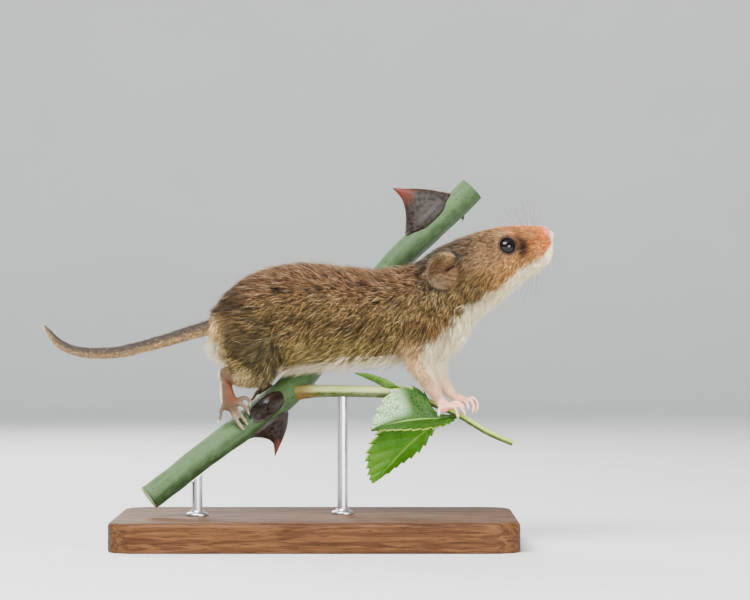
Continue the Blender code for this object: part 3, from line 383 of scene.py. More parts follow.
def bodyMap(points):
    count = len(points)
    best = np.zeros(count, int)
    for start in range(0, count, chunk):
        offset = points[start:start + chunk, None, :] - trunkMiddle[None, :, :]
        cost = (offset * trunkAhead[None]).sum(2) ** 2 + 0.05 * (offset**2).sum(2)
        best[start:start + chunk] = cost.argmin(1)
    row = trunkDense[best]
    offset = points - trunkMiddle[best]
    high, wide = (offset * trunkUp[best]).sum(1) / row[:, 2], offset[:, 1] / row[:, 3]
    across = np.maximum(np.hypot(high, wide), 1e-6)
    place = {"s": best / 10.0, "cosTurn": high / across, "sinTurn": wide / across}
    # the coat droops on the sides and stands up a little towards the back's ridge
    onBack = step01(0.5, 2.0, place["s"]) * step01(9.5, 8.0, place["s"])
    upward = coat["ridgeLift"] * step01(0.3, 0.8, place["cosTurn"]) * onBack
    upward -= readTable(coat["droop"], place["s"]) * np.abs(place["sinTurn"])
    flow = unit(trunkBack[best] + trunkUp[best] * upward[:, None])
    depth = readTable(coat["depth"], place["s"]) * (1 - 0.2 * step01(0.5, 0.95, -place["cosTurn"]))
    length = readTable(coat["length"], place["s"])
    place["limb"] = np.zeros(count, int)  # 0 trunk, 1 tail, 2 hind leg, 3 foreleg, 4 foot
    place["limbS"] = np.zeros(count)
    place["limbTurn"] = np.zeros(count)
    bare = np.zeros(count)
    for name, line in limbs.items():
        near, reach = nearestOn(line[:, :3], points)
        ratio = reach / (0.5 * (line[near, 3] + line[near, -1]))
        along = near / (soleSteps if "sole" in name else limbSteps)
        way = unit(np.gradient(line[:, :3], axis=0))[near]
        if name == "tail":
            weight = (1 - step01(1.2, 2.2, ratio)) * step01(-16.5, -18.0, points[:, 0])
            limbDepth, limbLength, kind = np.full(count, 0.1), np.interp(along, (0, 2, 10), (1.2, 0.9, 0.5)), 1
        elif "sole" in name:
            toDigit = nearestOn(digitPoints[name.replace("sole", "")], points)[1]
            weight = (1 - step01(2.2, 2.8, reach)) * step01(0.1, 0.9, along)
            weight = np.maximum(weight, 1 - step01(0.9, 1.2, toDigit))
            bare = np.maximum(bare, weight)
            limbDepth, limbLength, kind = np.zeros(count), np.full(count, 0.3), 4
        elif "hind" in name:
            weight = 1 - step01(1.15, 1.6, ratio)
            bare = np.maximum(bare, weight * step01(4.7, 5.4, along))
            limbDepth, limbLength, kind = readTable(coat["hindDepth"], along), readTable(coat["hindLength"], along), 2
            backDown = trunkBack[best] - trunkUp[best] * (0.3 + 1.3 * step01(1.9, 3.4, along))[:, None]
            share = step01(4.0, 5.0, along)[:, None]
            way = unit(unit(backDown) * (1 - share) + way * share)
        else:
            weight = 1 - step01(1.15, 1.6, ratio)
            limbDepth, limbLength, kind = readTable(coat["foreDepth"], along), readTable(coat["foreLength"], along), 3
        flow = unit(flow * (1 - weight)[:, None] + way * weight[:, None])
        depth = depth * (1 - weight) + limbDepth * weight
        length = length * (1 - weight) + limbLength * weight
        here = weight > 0.5
        place["limb"][here] = kind
        place["limbS"][here] = along[here]
        side = unit(np.cross(way, (0, 1, 0.01)))
        turn = np.arctan2(((points - line[near, :3]) * np.cross(way, side)).sum(1),
                          ((points - line[near, :3]) * side).sum(1))
        place["limbTurn"][here] = turn[here]
        place[name] = weight
    ear, earAhead, earUp, earHigh = (np.zeros(count) for _ in range(4))
    eyeNear = np.full(count, farOff)
    for side in sides.values():
        middle, out, ahead, up = (np.array(v) for v in earPlace(side))
        offset = points - middle
        high = (offset * out).sum(1)
        radial = np.hypot((offset * ahead).sum(1), (offset * up).sum(1))
        reach = ears["radius"] - 0.55 * step01(0.3, 0.9, (offset * ahead).sum(1) / np.maximum(radial, 0.1))
        inside = (1 - step01(reach, reach + 0.5, radial)) * step01(-3.4, -2.8, high)
        ear = np.maximum(ear, inside)
        mine = (radial < 5) & (points[:, 1] * side > 0)
        earAhead += (offset * ahead).sum(1) * mine
        earUp += (offset * up).sum(1) * mine
        earHigh += high * mine
        fromEye = points - np.array(eyePlace(side)[0])
        toEye = np.linalg.norm(fromEye, axis=1)
        eyeNear = np.minimum(eyeNear, toEye)
        around = step01(3.1, 2.0, toEye)[:, None]
        flow = unit(flow * (1 - around) + unit(fromEye) * around)  # the hair radiates from the eye and the ear
        radiating = unit(points - middle - out * high[:, None] - ahead * 1.2)
        radiating = unit(radiating + trunkBack[best] * 0.5)
        flow = unit(flow * (1 - inside)[:, None] + radiating * inside[:, None])
    depth = (depth * (1 - ear) + coat["earDepth"] * ear) * step01(1.5, 3.2, eyeNear) + 0.02
    length = (length * (1 - ear) + coat["earLength"] * ear) * (0.45 + 0.55 * step01(1.6, 3.4, eyeNear))
    place.update(flow=flow, depth=depth, length=length, bare=bare, ear=ear, eyeNear=eyeNear)
    place.update(earAhead=earAhead, earUp=earUp, earHigh=earHigh)
    place["noseNear"] = np.linalg.norm((points - np.array(noseTip)) / np.array((1.0, 1.15, 0.95)), axis=1)
    return place


def smoothed(points, mesh, share, rounds):  # evens out points by their neighbours, by a share for each point
    pairs = np.empty(len(mesh.edges) * 2, np.int32)
    mesh.edges.foreach_get("vertices", pairs)
    a, b = pairs[::2], pairs[1::2]
    degree = np.bincount(pairs, minlength=len(points))[:, None]
    for _ in range(rounds):
        total = np.zeros_like(points)
        for axis in range(3):
            total[:, axis] = np.bincount(a, points[b, axis], len(points))
            total[:, axis] += np.bincount(b, points[a, axis], len(points))
        points = points + (total / degree - points) * share[:, None]
    return points


# skin: thinned out where fur hides it, kept fine on feet, face and ears
setPoints(skinMesh, smoothed(meshPoints(skinMesh), skinMesh, np.full(len(skinMesh.vertices), 0.5), 3))
rough = bodyMap(meshPoints(skinMesh))
fine = ((rough["bare"] > 0.4) | (rough["eyeNear"] < 2.9) | (rough["noseNear"] < 2.4) | (rough["ear"] > 0.3)
        | (rough["s"] > 15.2))
body = pieceFrom("flesh", skinMesh)
thinGroup = body.vertex_groups.new(name="thin")
thinGroup.add(np.flatnonzero(~fine).tolist(), 1.0, "REPLACE")
thin = body.modifiers.new("thin", "DECIMATE")
thin.ratio = flesh["triangles"] / (2 * len(skinMesh.polygons))
thin.vertex_group = "thin"
thin.use_collapse_triangulate = True
skinMesh = meshWithModifiers(body)
skinMesh.name = "mouse_skin"
bm = bmesh.new()
bm.from_mesh(skinMesh)
bmesh.ops.triangulate(bm, faces=bm.faces)
bm.to_mesh(skinMesh)
bm.free()
skinMesh.shade_smooth()
stage(f"skin thinned, {int(fine.sum())} fine points, {len(skinMesh.polygons)} triangles")

outside = meshPoints(skinMesh)
normals = meshNormals(skinMesh)
where = bodyMap(outside)
swell = flesh["swell"] * (1 - 0.65 * where["bare"])
skinPoints = outside - normals * (swell + 0.92 * where["depth"])[:, None]
skinPoints = smoothed(skinPoints, skinMesh, np.clip(where["depth"] * 2, 0, 0.6), 6)

# ears: a thin shell that stands up behind and above, low in front, with a slit and folds; mm ahead and up
pinna = {
    "rim": [(-180, 3.0), (-150, 3.15), (-90, 3.2), (-45, 2.9), (0, 2.8), (35, 3.3), (60, 3.1), (90, 2.6), (115, 2.4),
            (150, 2.65), (180, 3.0)],
    "stands": [(-180, 0.72), (-140, 0.55), (-100, 0.32), (-40, 0.1), (0, 0.05), (40, 0.4), (75, 0.85), (130, 0.92),
               (180, 0.72)],
    "slit": ((1.0, 0.3), (2.7, 1.5)),
    "folds": [((1.0, -0.2), (2.4, -0.5)), ((0.5, -0.9), (2.2, -1.4)), ((0.8, 1.25), (2.9, 2.15))],
    "height": 1.45, "floor": -0.98, "rolled": 0.16, "bowl": 0.6, "slitDepth": 0.7, "foldHeight": 0.26,
}


def fromSegment(a, b, segment):
    (a0, b0), (a1, b1) = segment
    t = np.clip(((a - a0) * (a1 - a0) + (b - b0) * (b1 - b0)) / ((a1 - a0) ** 2 + (b1 - b0) ** 2), 0, 1)
    return np.hypot(a - a0 - t * (a1 - a0), b - b0 - t * (b1 - b0))


def rimPlace(ahead, up):  # how far out on the ear, 1 at its rim, and how much the rim stands there
    angle = np.degrees(np.arctan2(up, ahead))
    return np.hypot(ahead, up) / readTable(pinna["rim"], angle), readTable(pinna["stands"], angle)


def pinnaHeight(ahead, up):
    out, stands = rimPlace(ahead, up)
    shell = step01(0.3, 0.97, out) * (1 - step01(1.01, 1.11, out))
    rolled = np.exp(-(((out - 0.98) / 0.055) ** 2)) * pinna["rolled"]
    height = pinna["floor"] + stands * (pinna["height"] * shell + rolled)
    height -= pinna["bowl"] * np.exp(-((ahead - 0.7) ** 2) / 1.5 - (up - 0.2) ** 2 / 0.8)
    height -= pinna["slitDepth"] * np.exp(-((fromSegment(ahead, up, pinna["slit"]) / 0.2) ** 2))
    for fold in pinna["folds"]:
        height += pinna["foldHeight"] * np.exp(-((fromSegment(ahead, up, fold) / 0.2) ** 2))
    return height


# lids: a thin edge against the eyeball, then a shallow furrow; distance from the eye's axis, height over its middle
lid = {"heights": [(1.30, 0.66), (1.38, 0.80), (1.52, 0.82), (1.78, 0.66), (2.1, 0.56), (2.8, 0.52)], "inner": 1.3}
lidAway = np.full(len(skinPoints), farOff)
for side in sides.values():
    middle, out, ahead, up = (np.array(v) for v in earPlace(side))
    offset = skinPoints - middle
    toAhead, toUp, high = (offset * ahead).sum(1), (offset * up).sum(1), (offset * out).sum(1)
    weight = (1 - step01(3.3, 3.9, np.hypot(toAhead, toUp))) * (np.abs(high) < 3)
    skinPoints += out * ((pinnaHeight(toAhead, toUp) - high) * weight)[:, None]
    middle, look = (np.array(v) for v in eyePlace(side))
    ahead = unit(np.array((1.0, 0, 0)) - look * look[0])
    offset = skinPoints - middle
    high, toAhead = (offset * look).sum(1), (offset * ahead).sum(1)
    toUp = (offset * np.cross(look, ahead)).sum(1)
    radial = np.hypot(toAhead, toUp)
    behindEye = np.sqrt(np.maximum(lid["inner"] ** 2 - radial**2, 0))
    target = np.where(radial < lid["heights"][0][0] - 0.04, behindEye, readTable(lid["heights"], radial))
    lidAway = np.minimum(lidAway, np.where(np.abs(high) < 2.5, radial, farOff))
    weight = (1 - step01(2.1, 2.8, radial)) * (np.abs(high) < 2.5)
    skinPoints += look * ((target - high) * weight)[:, None]
skinPoints = smoothed(skinPoints, skinMesh, 0.35 * (where["ear"] > 0.05), 2)
setPoints(skinMesh, skinPoints)
stage("skin taken in, ears and lids shaped")


# markings: named tones, laid on skin and coat alike
tones = {
    "back": (0.112, 0.060, 0.029), "rumpTop": (0.052, 0.030, 0.015), "rumpEdge": (0.80, 0.53, 0.23),
    "flank": (0.107, 0.069, 0.027), "lowFlank": (0.195, 0.144, 0.048), "haunch": (0.075, 0.056, 0.026),
    "haunchLow": (0.52, 0.40, 0.19), "shoulder": (0.138, 0.090, 0.036), "nape": (0.060, 0.045, 0.031),
    "crown": (0.26, 0.145, 0.066), "cheek": (0.40, 0.205, 0.066), "muzzle": (0.66, 0.185, 0.022),
    "patch": (0.050, 0.014, 0.005), "pale": (0.97, 0.84, 0.56), "leg": (0.74, 0.49, 0.25),
    "streak": (0.17, 0.075, 0.030), "ankle": (0.95, 0.52, 0.36), "ear": (0.115, 0.066, 0.028),
    "earFront": (0.37, 0.215, 0.105), "earLow": (0.125, 0.086, 0.052), "earSlitShade": (0.045, 0.010, 0.004),
    "earRim": (0.80, 0.68, 0.54), "lid": (0.012, 0.008, 0.007), "lidPale": (0.075, 0.040, 0.024),
    "tailTop": (0.098, 0.072, 0.054), "tailUnder": (0.50, 0.345, 0.165), "toe": (0.88, 0.56, 0.46),
    "foot": (0.88, 0.44, 0.33), "palm": (0.76, 0.18, 0.12), "hindFoot": (0.088, 0.056, 0.028),
    "hindToe": (0.33, 0.26, 0.19), "hindStripe": (0.12, 0.032, 0.014), "hindEdge": (0.84, 0.70, 0.50),
    "noseTip": (0.96, 0.37, 0.29), "noseEdge": (0.97, 0.80, 0.72), "fleck": (0.008, 0.006, 0.005),
}
# how low on the side the pale underside starts, by place along the trunk: 1 is the back's ridge, -1 the belly
paleEdge = [(0, -0.1), (1.2, -0.35), (2.2, -0.84), (3, -0.95), (6.6, -0.95), (7.4, -0.9), (8, -0.84), (8.6, -0.66),
            (9.4, -0.56), (10, -0.6), (11, -0.68), (12, -0.68), (13, -0.64), (14, -0.58), (15, -0.48), (16, -0.28),
            (17, 0.0)]
# lines down the near hind foot, with the tone's strength and how far off it fades out and is full
footLines = [
    ("hindStripe", 0.85, 1.25, 0.4,
     [(-14.4, -6.1, 28.6), (-14.3, -6.0, 27.2), (-14.1, -5.9, 25.8), (-13.9, -5.7, 24.8)]),
    ("hindEdge", 0.8, 1.0, 0.35,
     [(-16.7, -5.4, 29.3), (-16.5, -5.3, 27.6), (-16.4, -5.1, 26.0), (-16.4, -4.9, 24.4)]),
]


def wander(points, size, seed):  # smooth noise from -1 to 1, at a size in mm
    rng = np.random.default_rng(seed)
    total = np.zeros(len(points))
    for octave in range(6):
        way = unit(rng.normal(size=3)) / size * (1.0 + 0.45 * octave)
        total += np.sin(points @ way * 2 * math.pi + rng.uniform(0, 6.28))
    return total / 3.2


def markTones(points, place):
    tone = np.tile(np.array(tones["flank"]), (len(points), 1))

    def lay(name, weight):
        share = np.clip(weight, 0, 1)[:, None]
        tone[:] = tone * (1 - share) + np.array(tones[name]) * share

    s, top = place["s"], place["cosTurn"] + 0.08 * wander(points, 5.0, 1)
    lay("lowFlank", step01(-0.2, -0.72, top))
    lay("shoulder", step01(6.8, 8.2, s))
    lay("back", step01(0.15, 0.75, top))
    lay("rumpTop", step01(0.0, 0.6, top) * step01(4.6, 2.2, s))
    lay("nape", step01(8.2, 9.2, s) * step01(-0.1, 0.6, top))
    lay("crown", step01(10.2, 12.0, s) * step01(-0.4, 0.3, top))
    lay("nape", 0.75 * step01(13.4, 10.8, s) * step01(9.5, 10.5, s) * step01(0.45, 0.85, top))
    lay("cheek", step01(10.8, 12.6, s) * step01(0.35, -0.2, top))
    hindAny = np.maximum(place["hind_left"], place["hind_right"])
    foreAny = np.maximum(place["fore_left"], place["fore_right"])
    lay("haunch", hindAny * step01(0.3, -0.4, top))
    flecks = wander(points * np.array((0.5, 1.0, 1.0)), 1.3, 7) + 0.4 * wander(points, 6.0, 8)
    lay("fleck", 0.85 * step01(0.6, 1.1, flecks) * step01(11.8, 9.8, s) * step01(-0.75, -0.3, top))
    mottle = 1 + 0.28 * wander(points * np.array((0.6, 1.0, 1.0)), 3.2, 12) + 0.2 * wander(points, 1.5, 13)
    tone *= np.clip(np.where(s < 11, mottle, 1 + 0.5 * (mottle - 1)), 0.4, 1.7)[:, None]
    lay("muzzle", 0.85 * step01(12.5, 16.4, s + 0.5 * top) * step01(-0.95, -0.4, top) + 0.15 * step01(14.6, 15.8, s))
    lay("rumpEdge", step01(2.7, 1.1, s) * step01(0.9, 0.1, top))
    edge = readTable(paleEdge, s)
    soft = 1 + 0.7 * step01(12.5, 14.5, s) - 0.2 * step01(7.8, 7.0, s)
    lay("pale", step01(edge + 0.13 * soft, edge - 0.1 * soft, top))
    away = np.sqrt(((points[:, 0] - 35.6) / 1.1) ** 2 + ((points[:, 2] - 50.3) / 1.7) ** 2)
    lay("patch", step01(1.4, 0.3, away) * step01(1.2, 2.2, np.abs(points[:, 1])) * 0.9)
    leftness = place["hind_left"] + place["fore_left"] - place["hind_right"] - place["fore_right"]
    inner = points[:, 1] * np.sign(leftness)
    onHind = hindAny * (place["limb"] == 2)
    lay("haunchLow", 0.8 * onHind * step01(2.9, 3.9, place["limbS"] + 0.5 * wander(points, 2.4, 17)))
    # painted shade: the hind foot's pinkish brown is darkened for the shade it stands in
    lay("hindFoot", onHind * step01(4.4, 5.4, place["limbS"]))
    lay("pale", hindAny * step01(5.0, 3.4, inner) * step01(0.5, 1.5, place["limbS"]))
    onFore = foreAny * (place["limb"] == 3)
    lay("leg", onFore * step01(0.9, 2.4, place["limbS"]))
    lay("streak", 0.55 * onFore * step01(0.5, 1.0, wander(points * np.array((1, 1, 0.3)), 2.6, 9) + 0.3)
        * step01(4.6, 3.0, place["limbS"]))
    for sideName, line in foreLines.items():  # the front of each foreleg is pale
        xs, zs = [row[0] for row in line[::-1]], [row[2] for row in line[::-1]]
        before = points[:, 0] - np.interp(points[:, 2], zs, xs)
        low = step01(5.6, 4.0, place["limbS"]) * step01(35.8, 34.0, points[:, 2] + 0.6 * wander(points, 2.0, 19))
        lay("pale", place["fore_" + sideName] * (place["limb"] == 3) * step01(0.5, 1.3, before) * low)
    lay("pale", onFore * step01(3.8, 2.4, inner) * step01(0.3, 1.2, place["limbS"]))
    lay("ankle", 0.7 * onFore * step01(3.8, 5.4, place["limbS"]))
    ahead, up = place["earAhead"], place["earUp"]
    lay("ear", place["ear"])
    lay("earFront", 0.8 * place["ear"] * step01(1.0, 2.3, up) * step01(-0.8, 0.9, ahead))
    lay("earLow", 0.8 * place["ear"] * step01(0.4, -1.4, up) * step01(1.2, -0.8, ahead))
    lay("cheek", 0.5 * place["ear"] * step01(2.0, 3.2, ahead - 0.3 * up))
    # painted shade: the ear's slit is painted dark
    lay("earSlitShade", place["ear"] * np.exp(-((fromSegment(ahead, up, pinna["slit"]) / 0.3) ** 2)))
    turn = np.degrees(np.arctan2(up, ahead))
    onRim = np.exp(-(((rimPlace(ahead, up)[0] - 0.985) / 0.03) ** 2)) * step01(-0.7, -0.2, place["earHigh"])
    lay("earRim", 0.6 * place["ear"] * onRim * step01(55, 80, turn) * step01(168, 150, turn))
    lay("tailUnder", place["tail"])
    lay("tailTop", place["tail"] * step01(-0.5, 0.4, -np.cos(place["limbTurn"])))
    rear = points[:, 0] < 0
    # painted shade: the bare hind feet get the same darkened tone
    lay("hindFoot", place["bare"] * rear)
    for name, strength, faded, full, line in footLines:
        reach = nearestOn(denseLine(line), points)[1]
        lay(name, strength * place["bare"] * rear * step01(faded, full, reach))
    lay("foot", place["bare"] * ~rear)
    for name, paths in digitPoints.items():
        near, reach = nearestOn(paths, points)
        onDigit = place["bare"] * step01(1.0, 0.5, reach)
        onwards = near % digitCount
        lay("hindToe" if name.startswith("hind") else "toe", 0.85 * onDigit * step01(2, 7, onwards))
        if name.startswith("fore"):
            under = step01(0.0, 0.45, paths[near, 2] - points[:, 2])
            lay("palm", 0.7 * place["bare"] * step01(1.6, 1.2, reach) * under * step01(9, 4, onwards))
    lay("noseTip", step01(2.4, 1.5, place["noseNear"]))
    lay("noseEdge", 0.8 * step01(2.3, 1.7, place["noseNear"]) * step01(39.9, 40.4, points[:, 0]))
    return tone


def paintTones(mesh, name, colours):
    layer = mesh.attributes.new(name, "FLOAT_COLOR", "POINT")
    rgba = np.ones((len(colours), 4), np.float32)
    rgba[:, :colours.shape[1]] = colours
    layer.data.foreach_set("color", rgba.ravel())


# nodes for the materials
def addNode(tree, kind, **values):
    node = tree.nodes.new(kind)
    for key, value in values.items():
        if key in node.inputs:
            node.inputs[key].default_value = value
        else:
            setattr(node, key, value)
    return node


def newGroup(name, inputs, outputs):
    group = bpy.data.node_groups.new(name, "ShaderNodeTree")
    for key, kind, value in inputs:
        socket = group.interface.new_socket(name=key, in_out="INPUT", socket_type=kind)
        if value is not None:
            socket.default_value = value
    for key, kind in outputs:
        group.interface.new_socket(name=key, in_out="OUTPUT", socket_type=kind)
    return group, group.nodes.new("NodeGroupInput"), group.nodes.new("NodeGroupOutput")


def mixColour(tree, blend, factor, a, b):  # a and b are nodes' outputs, or red, green and blue
    node = tree.nodes.new("ShaderNodeMix")
    node.data_type, node.blend_type = "RGBA", blend
    for socket, value in ((node.inputs[0], factor), (node.inputs[6], a), (node.inputs[7], b)):
        if isinstance(value, bpy.types.NodeSocket):
            tree.links.new(value, socket)
        else:
            socket.default_value = (*value, 1.0) if isinstance(value, tuple) else value
    return node.outputs[2]


def mathNode(tree, operation, a, b=0.0, c=0.0):
    node = addNode(tree, "ShaderNodeMath", operation=operation)
    for socket, value in zip(node.inputs, (a, b, c)):
        if isinstance(value, bpy.types.NodeSocket):
            tree.links.new(value, socket)
        else:
            socket.default_value = value
    return node.outputs[0]


def times(tree, a, b):
    return mathNode(tree, "MULTIPLY", a, b)


def rangeNode(tree, value, low, high, toLow=0.0, toHigh=1.0):
    node = tree.nodes.new("ShaderNodeMapRange")
    node.interpolation_type = "SMOOTHSTEP"
    tree.links.new(value, node.inputs[0])
    for k, number in enumerate((low, high, toLow, toHigh), 1):
        node.inputs[k].default_value = number
    return node.outputs[0]


def newMaterial(name, **values):
    material = bpy.data.materials.new(name)
    material.use_nodes = True
    shader = material.node_tree.nodes["Principled BSDF"]
    for key, value in values.items():
        shader.inputs[key.replace("_", " ")].default_value = value
    return material, material.node_tree, shader


def feed(tree, shader, **sockets):  # nodes' outputs into the shader's inputs
    for key, socket in sockets.items():
        tree.links.new(socket, shader.inputs[key.replace("_", " ")])


def objectPlace(tree):
    return tree.nodes.new("ShaderNodeTexCoord").outputs["Object"]


def layerNode(tree, name, output="Color"):  # values laid on the piece's own points
    return addNode(tree, "ShaderNodeAttribute", attribute_name=name).outputs[output]


def splitColour(tree, colour):
    node = tree.nodes.new("ShaderNodeSeparateColor")
    tree.links.new(colour, node.inputs[0])
    return node.outputs


def brightness(tree, colour):
    node = tree.nodes.new("ShaderNodeRGBToBW")
    tree.links.new(colour, node.inputs[0])
    return node.outputs[0]


def textureNode(tree, kind, place, **values):
    node = addNode(tree, "ShaderNodeTex" + kind, **values)
    tree.links.new(place, node.inputs["Vector"])
    return node


def noiseNode(tree, place, size, detail=4.0, roughness=0.55):  # size in mm
    return textureNode(tree, "Noise", place, Scale=1000.0 / size, Detail=detail, Roughness=roughness).outputs["Fac"]


def stretched(tree, place, *shares):  # a pattern on this place is drawn out along the axes with a small share
    node = addNode(tree, "ShaderNodeVectorMath", operation="MULTIPLY")
    node.inputs[1].default_value = shares
    tree.links.new(place, node.inputs[0])
    return node.outputs[0]


def axisOf(tree, vector, axis):
    node = tree.nodes.new("ShaderNodeSeparateXYZ")
    tree.links.new(vector, node.inputs[0])
    return node.outputs[axis]


def bumpNode(tree, height, strength, distance):  # distance in mm
    node = addNode(tree, "ShaderNodeBump", Strength=strength, Distance=distance * mm)
    tree.links.new(height, node.inputs["Height"])
    return node.outputs["Normal"]


def mottledMaterial(name, size, first, second, low=None, high=None, **values):  # two tones mixed by noise
    material, tree, shader = newMaterial(name, **values)
    share = noiseNode(tree, objectPlace(tree), size)
    if low is not None:
        share = rangeNode(tree, share, low, high)
    feed(tree, shader, Base_Color=mixColour(tree, "MIX", share, first, second))
    return material


# strand colour: root darkened as painted shade, toned middle, lighter or black tip, a little different for each tuft
strandGroup, strandIn, strandOut = newGroup(
    "strandColour",
    [("Tone", "NodeSocketColor", (0.4, 0.25, 0.1, 1.0)), ("Strand", "NodeSocketColor", (0.5, 0.5, 0.5, 1.0)),
     ("Root Shade", "NodeSocketFloat", 0.45), ("Black Tips", "NodeSocketFloat", 0.25),
     ("Pale Tips", "NodeSocketFloat", 0.2), ("Variation", "NodeSocketFloat", 0.35)],
    [("Colour", "NodeSocketColor"), ("Roughness", "NodeSocketFloat")])
alongTuft, pick, clump = splitColour(strandGroup, strandIn.outputs["Strand"])
# brightness by tuft and by clump
spread = times(strandGroup, mathNode(strandGroup, "SUBTRACT", pick, 0.5), strandIn.outputs["Variation"])
spread = mathNode(strandGroup, "MULTIPLY_ADD", mathNode(strandGroup, "SUBTRACT", clump, 0.5),
                  times(strandGroup, strandIn.outputs["Variation"], 0.4), spread)
bright = mathNode(strandGroup, "ADD", spread, 1.0)
rootward = rangeNode(strandGroup, alongTuft, 0.0, 0.45, 1.0, 0.0)
shade = times(strandGroup, strandIn.outputs["Root Shade"],
              rangeNode(strandGroup, brightness(strandGroup, strandIn.outputs["Tone"]), 0.3, 0.8, 1.0, 0.6))
bright = times(strandGroup, bright, mathNode(strandGroup, "SUBTRACT", 1.0, times(strandGroup, rootward, shade)))
grey = strandGroup.nodes.new("ShaderNodeCombineColor")
for k in range(3):
    strandGroup.links.new(bright, grey.inputs[k])
toned = mixColour(strandGroup, "MULTIPLY", 1.0, strandIn.outputs["Tone"], grey.outputs[0])
# some tufts end in gold and some in black
gilded = rangeNode(strandGroup, mathNode(strandGroup, "ADD", strandIn.outputs["Pale Tips"], pick), 0.98, 1.02)
gilded = times(strandGroup, gilded, rangeNode(strandGroup, alongTuft, 0.2, 0.7))
gold = mixColour(strandGroup, "MULTIPLY", 1.0, toned, (2.3, 2.2, 2.0))
toned = mixColour(strandGroup, "MIX", gilded, toned, gold)
chosen = rangeNode(strandGroup, mathNode(strandGroup, "SUBTRACT", strandIn.outputs["Black Tips"], pick), -0.02, 0.02)
dark = times(strandGroup, chosen, rangeNode(strandGroup, alongTuft, 0.35, 0.9))
toned = mixColour(strandGroup, "MIX", dark, toned, (0.018, 0.012, 0.01))
strandGroup.links.new(toned, strandOut.inputs["Colour"])
strandGroup.links.new(rangeNode(strandGroup, pick, 0.0, 1.0, 0.5, 0.72), strandOut.inputs["Roughness"])


def coatMaterial(name, rootShade, blackTips, paleTips, variation):
    material, tree, shader = newMaterial(name, Specular_IOR_Level=0.12)
    strand = addNode(tree, "ShaderNodeGroup", node_tree=strandGroup)
    for key, value in (("Root Shade", rootShade), ("Black Tips", blackTips), ("Pale Tips", paleTips),
                       ("Variation", variation)):
        strand.inputs[key].default_value = value
    tree.links.new(layerNode(tree, "tone"), strand.inputs["Tone"])
    tree.links.new(layerNode(tree, "strand"), strand.inputs["Strand"])
    feed(tree, shader, Base_Color=strand.outputs["Colour"], Roughness=strand.outputs["Roughness"])
    return material


# coat: tufts over the skin
fur = {
    "perClump": 8, "clumpPull": 0.22, "seed": 11, "strays": 0.085, "guardHairs": 0.026,
    "clumpLean": 0.2, "areaLean": 0.22, "ownLean": 0.19,  # how far tufts turn from the lie of the coat
    "width": 0.05, "thinnest": 0.05, "thickest": 0.095,  # width as a share of length, and its limits
    "guardTone": (0.14, 0.11, 0.07),  # added to the tone of the long guard hairs
    "density": {"trunk": 62.0, "head": 50.0, "muzzle": 78.0, "leg": 42.0, "tail": 18.0, "ear": 62.0},
}
rng = np.random.default_rng(fur["seed"])
skinTriangles = np.empty(len(skinMesh.polygons) * 3, np.int32)
skinMesh.polygons.foreach_get("vertices", skinTriangles)
skinTriangles = skinTriangles.reshape(-1, 3)
skinNormals = meshNormals(skinMesh)
skinTones = markTones(outside, where)
for name, low, high in (("lidPale", 1.85, 1.6), ("lid", 1.5, 1.42)):
    share = step01(low, high, lidAway)[:, None]
    skinTones = skinTones * (1 - share) + np.array(tones[name]) * share
paintTones(skinMesh, "tone", skinTones)
bareMask = np.maximum(where["bare"], step01(1.56, 1.46, lidAway))
bareMask = np.clip(np.maximum(bareMask, step01(1.55, 1.15, where["noseNear"])), 0, 1)
paintTones(skinMesh, "bare", np.stack([bareMask, where["tail"], where["ear"]], 1))

density = np.full(len(outside), fur["density"]["trunk"])
density += (fur["density"]["head"] - density) * step01(9.0, 11.5, where["s"])
density += (fur["density"]["muzzle"] - density) * step01(13.0, 15.0, where["s"])
for name in ("hind_left", "hind_right", "fore_left", "fore_right"):
    density += (fur["density"]["leg"] * (1 + step01(2.5, 5.0, where["limbS"])) - density) * where[name]
density += (fur["density"]["tail"] - density) * where["tail"]
density += (fur["density"]["ear"] - density) * where["ear"]
density *= (1 - bareMask) * step01(1.44, 1.52, lidAway) * (1 + step01(3.4, 2.2, where["eyeNear"]))
corners = skinPoints[skinTriangles]
areas = 0.5 * np.linalg.norm(np.cross(corners[:, 1] - corners[:, 0], corners[:, 2] - corners[:, 0]), axis=1)
wanted = areas * density[skinTriangles].mean(1)
tuftCount = int(wanted.sum())
chosenTriangles = np.sort(rng.choice(len(wanted), tuftCount, p=wanted / wanted.sum()))
weights = rng.random((tuftCount, 3))
flip = weights[:, 0] + weights[:, 1] > 1
weights[flip, :2] = 1 - weights[flip, :2]
weights[:, 2] = 1 - weights[:, 0] - weights[:, 1]
cornerIds = skinTriangles[chosenTriangles]
nearestCorner = cornerIds[np.arange(tuftCount), weights.argmax(1)]


def atRoots(values):
    values = np.asarray(values, float)
    return (values[cornerIds] * (weights if values.ndim == 1 else weights[:, :, None])).sum(1)


roots = atRoots(skinPoints)
rootNormals = unit(atRoots(skinNormals))
rootFlow = atRoots(where["flow"])
rootDepth, rootLength = atRoots(where["depth"]), atRoots(where["length"])
rootTones = markTones(atRoots(outside), {key: values[nearestCorner] for key, values in where.items()})
stage(f"{tuftCount} tufts rooted on {areas.sum():.0f} square mm")

# clumps: tufts near one clump's middle lean together
clumpCount = max(1, tuftCount // fur["perClump"])
clumpRoots = rng.choice(tuftCount, clumpCount, replace=False)
clumpTree = KDTree(clumpCount)
for k, root in enumerate(roots[clumpRoots]):
    clumpTree.insert(root, k)
clumpTree.balance()
clumpOf = np.array([clumpTree.find(root)[1] for root in roots])
clumpLean = rng.normal(0, fur["clumpLean"], clumpCount)[clumpOf]
clumpLift = rng.uniform(0.8, 1.2, clumpCount)[clumpOf]
clumpPick = rng.random(clumpCount)[clumpOf]
toClump = roots[clumpRoots][clumpOf] - roots
toClump -= rootNormals * (toClump * rootNormals).sum(1, keepdims=True)

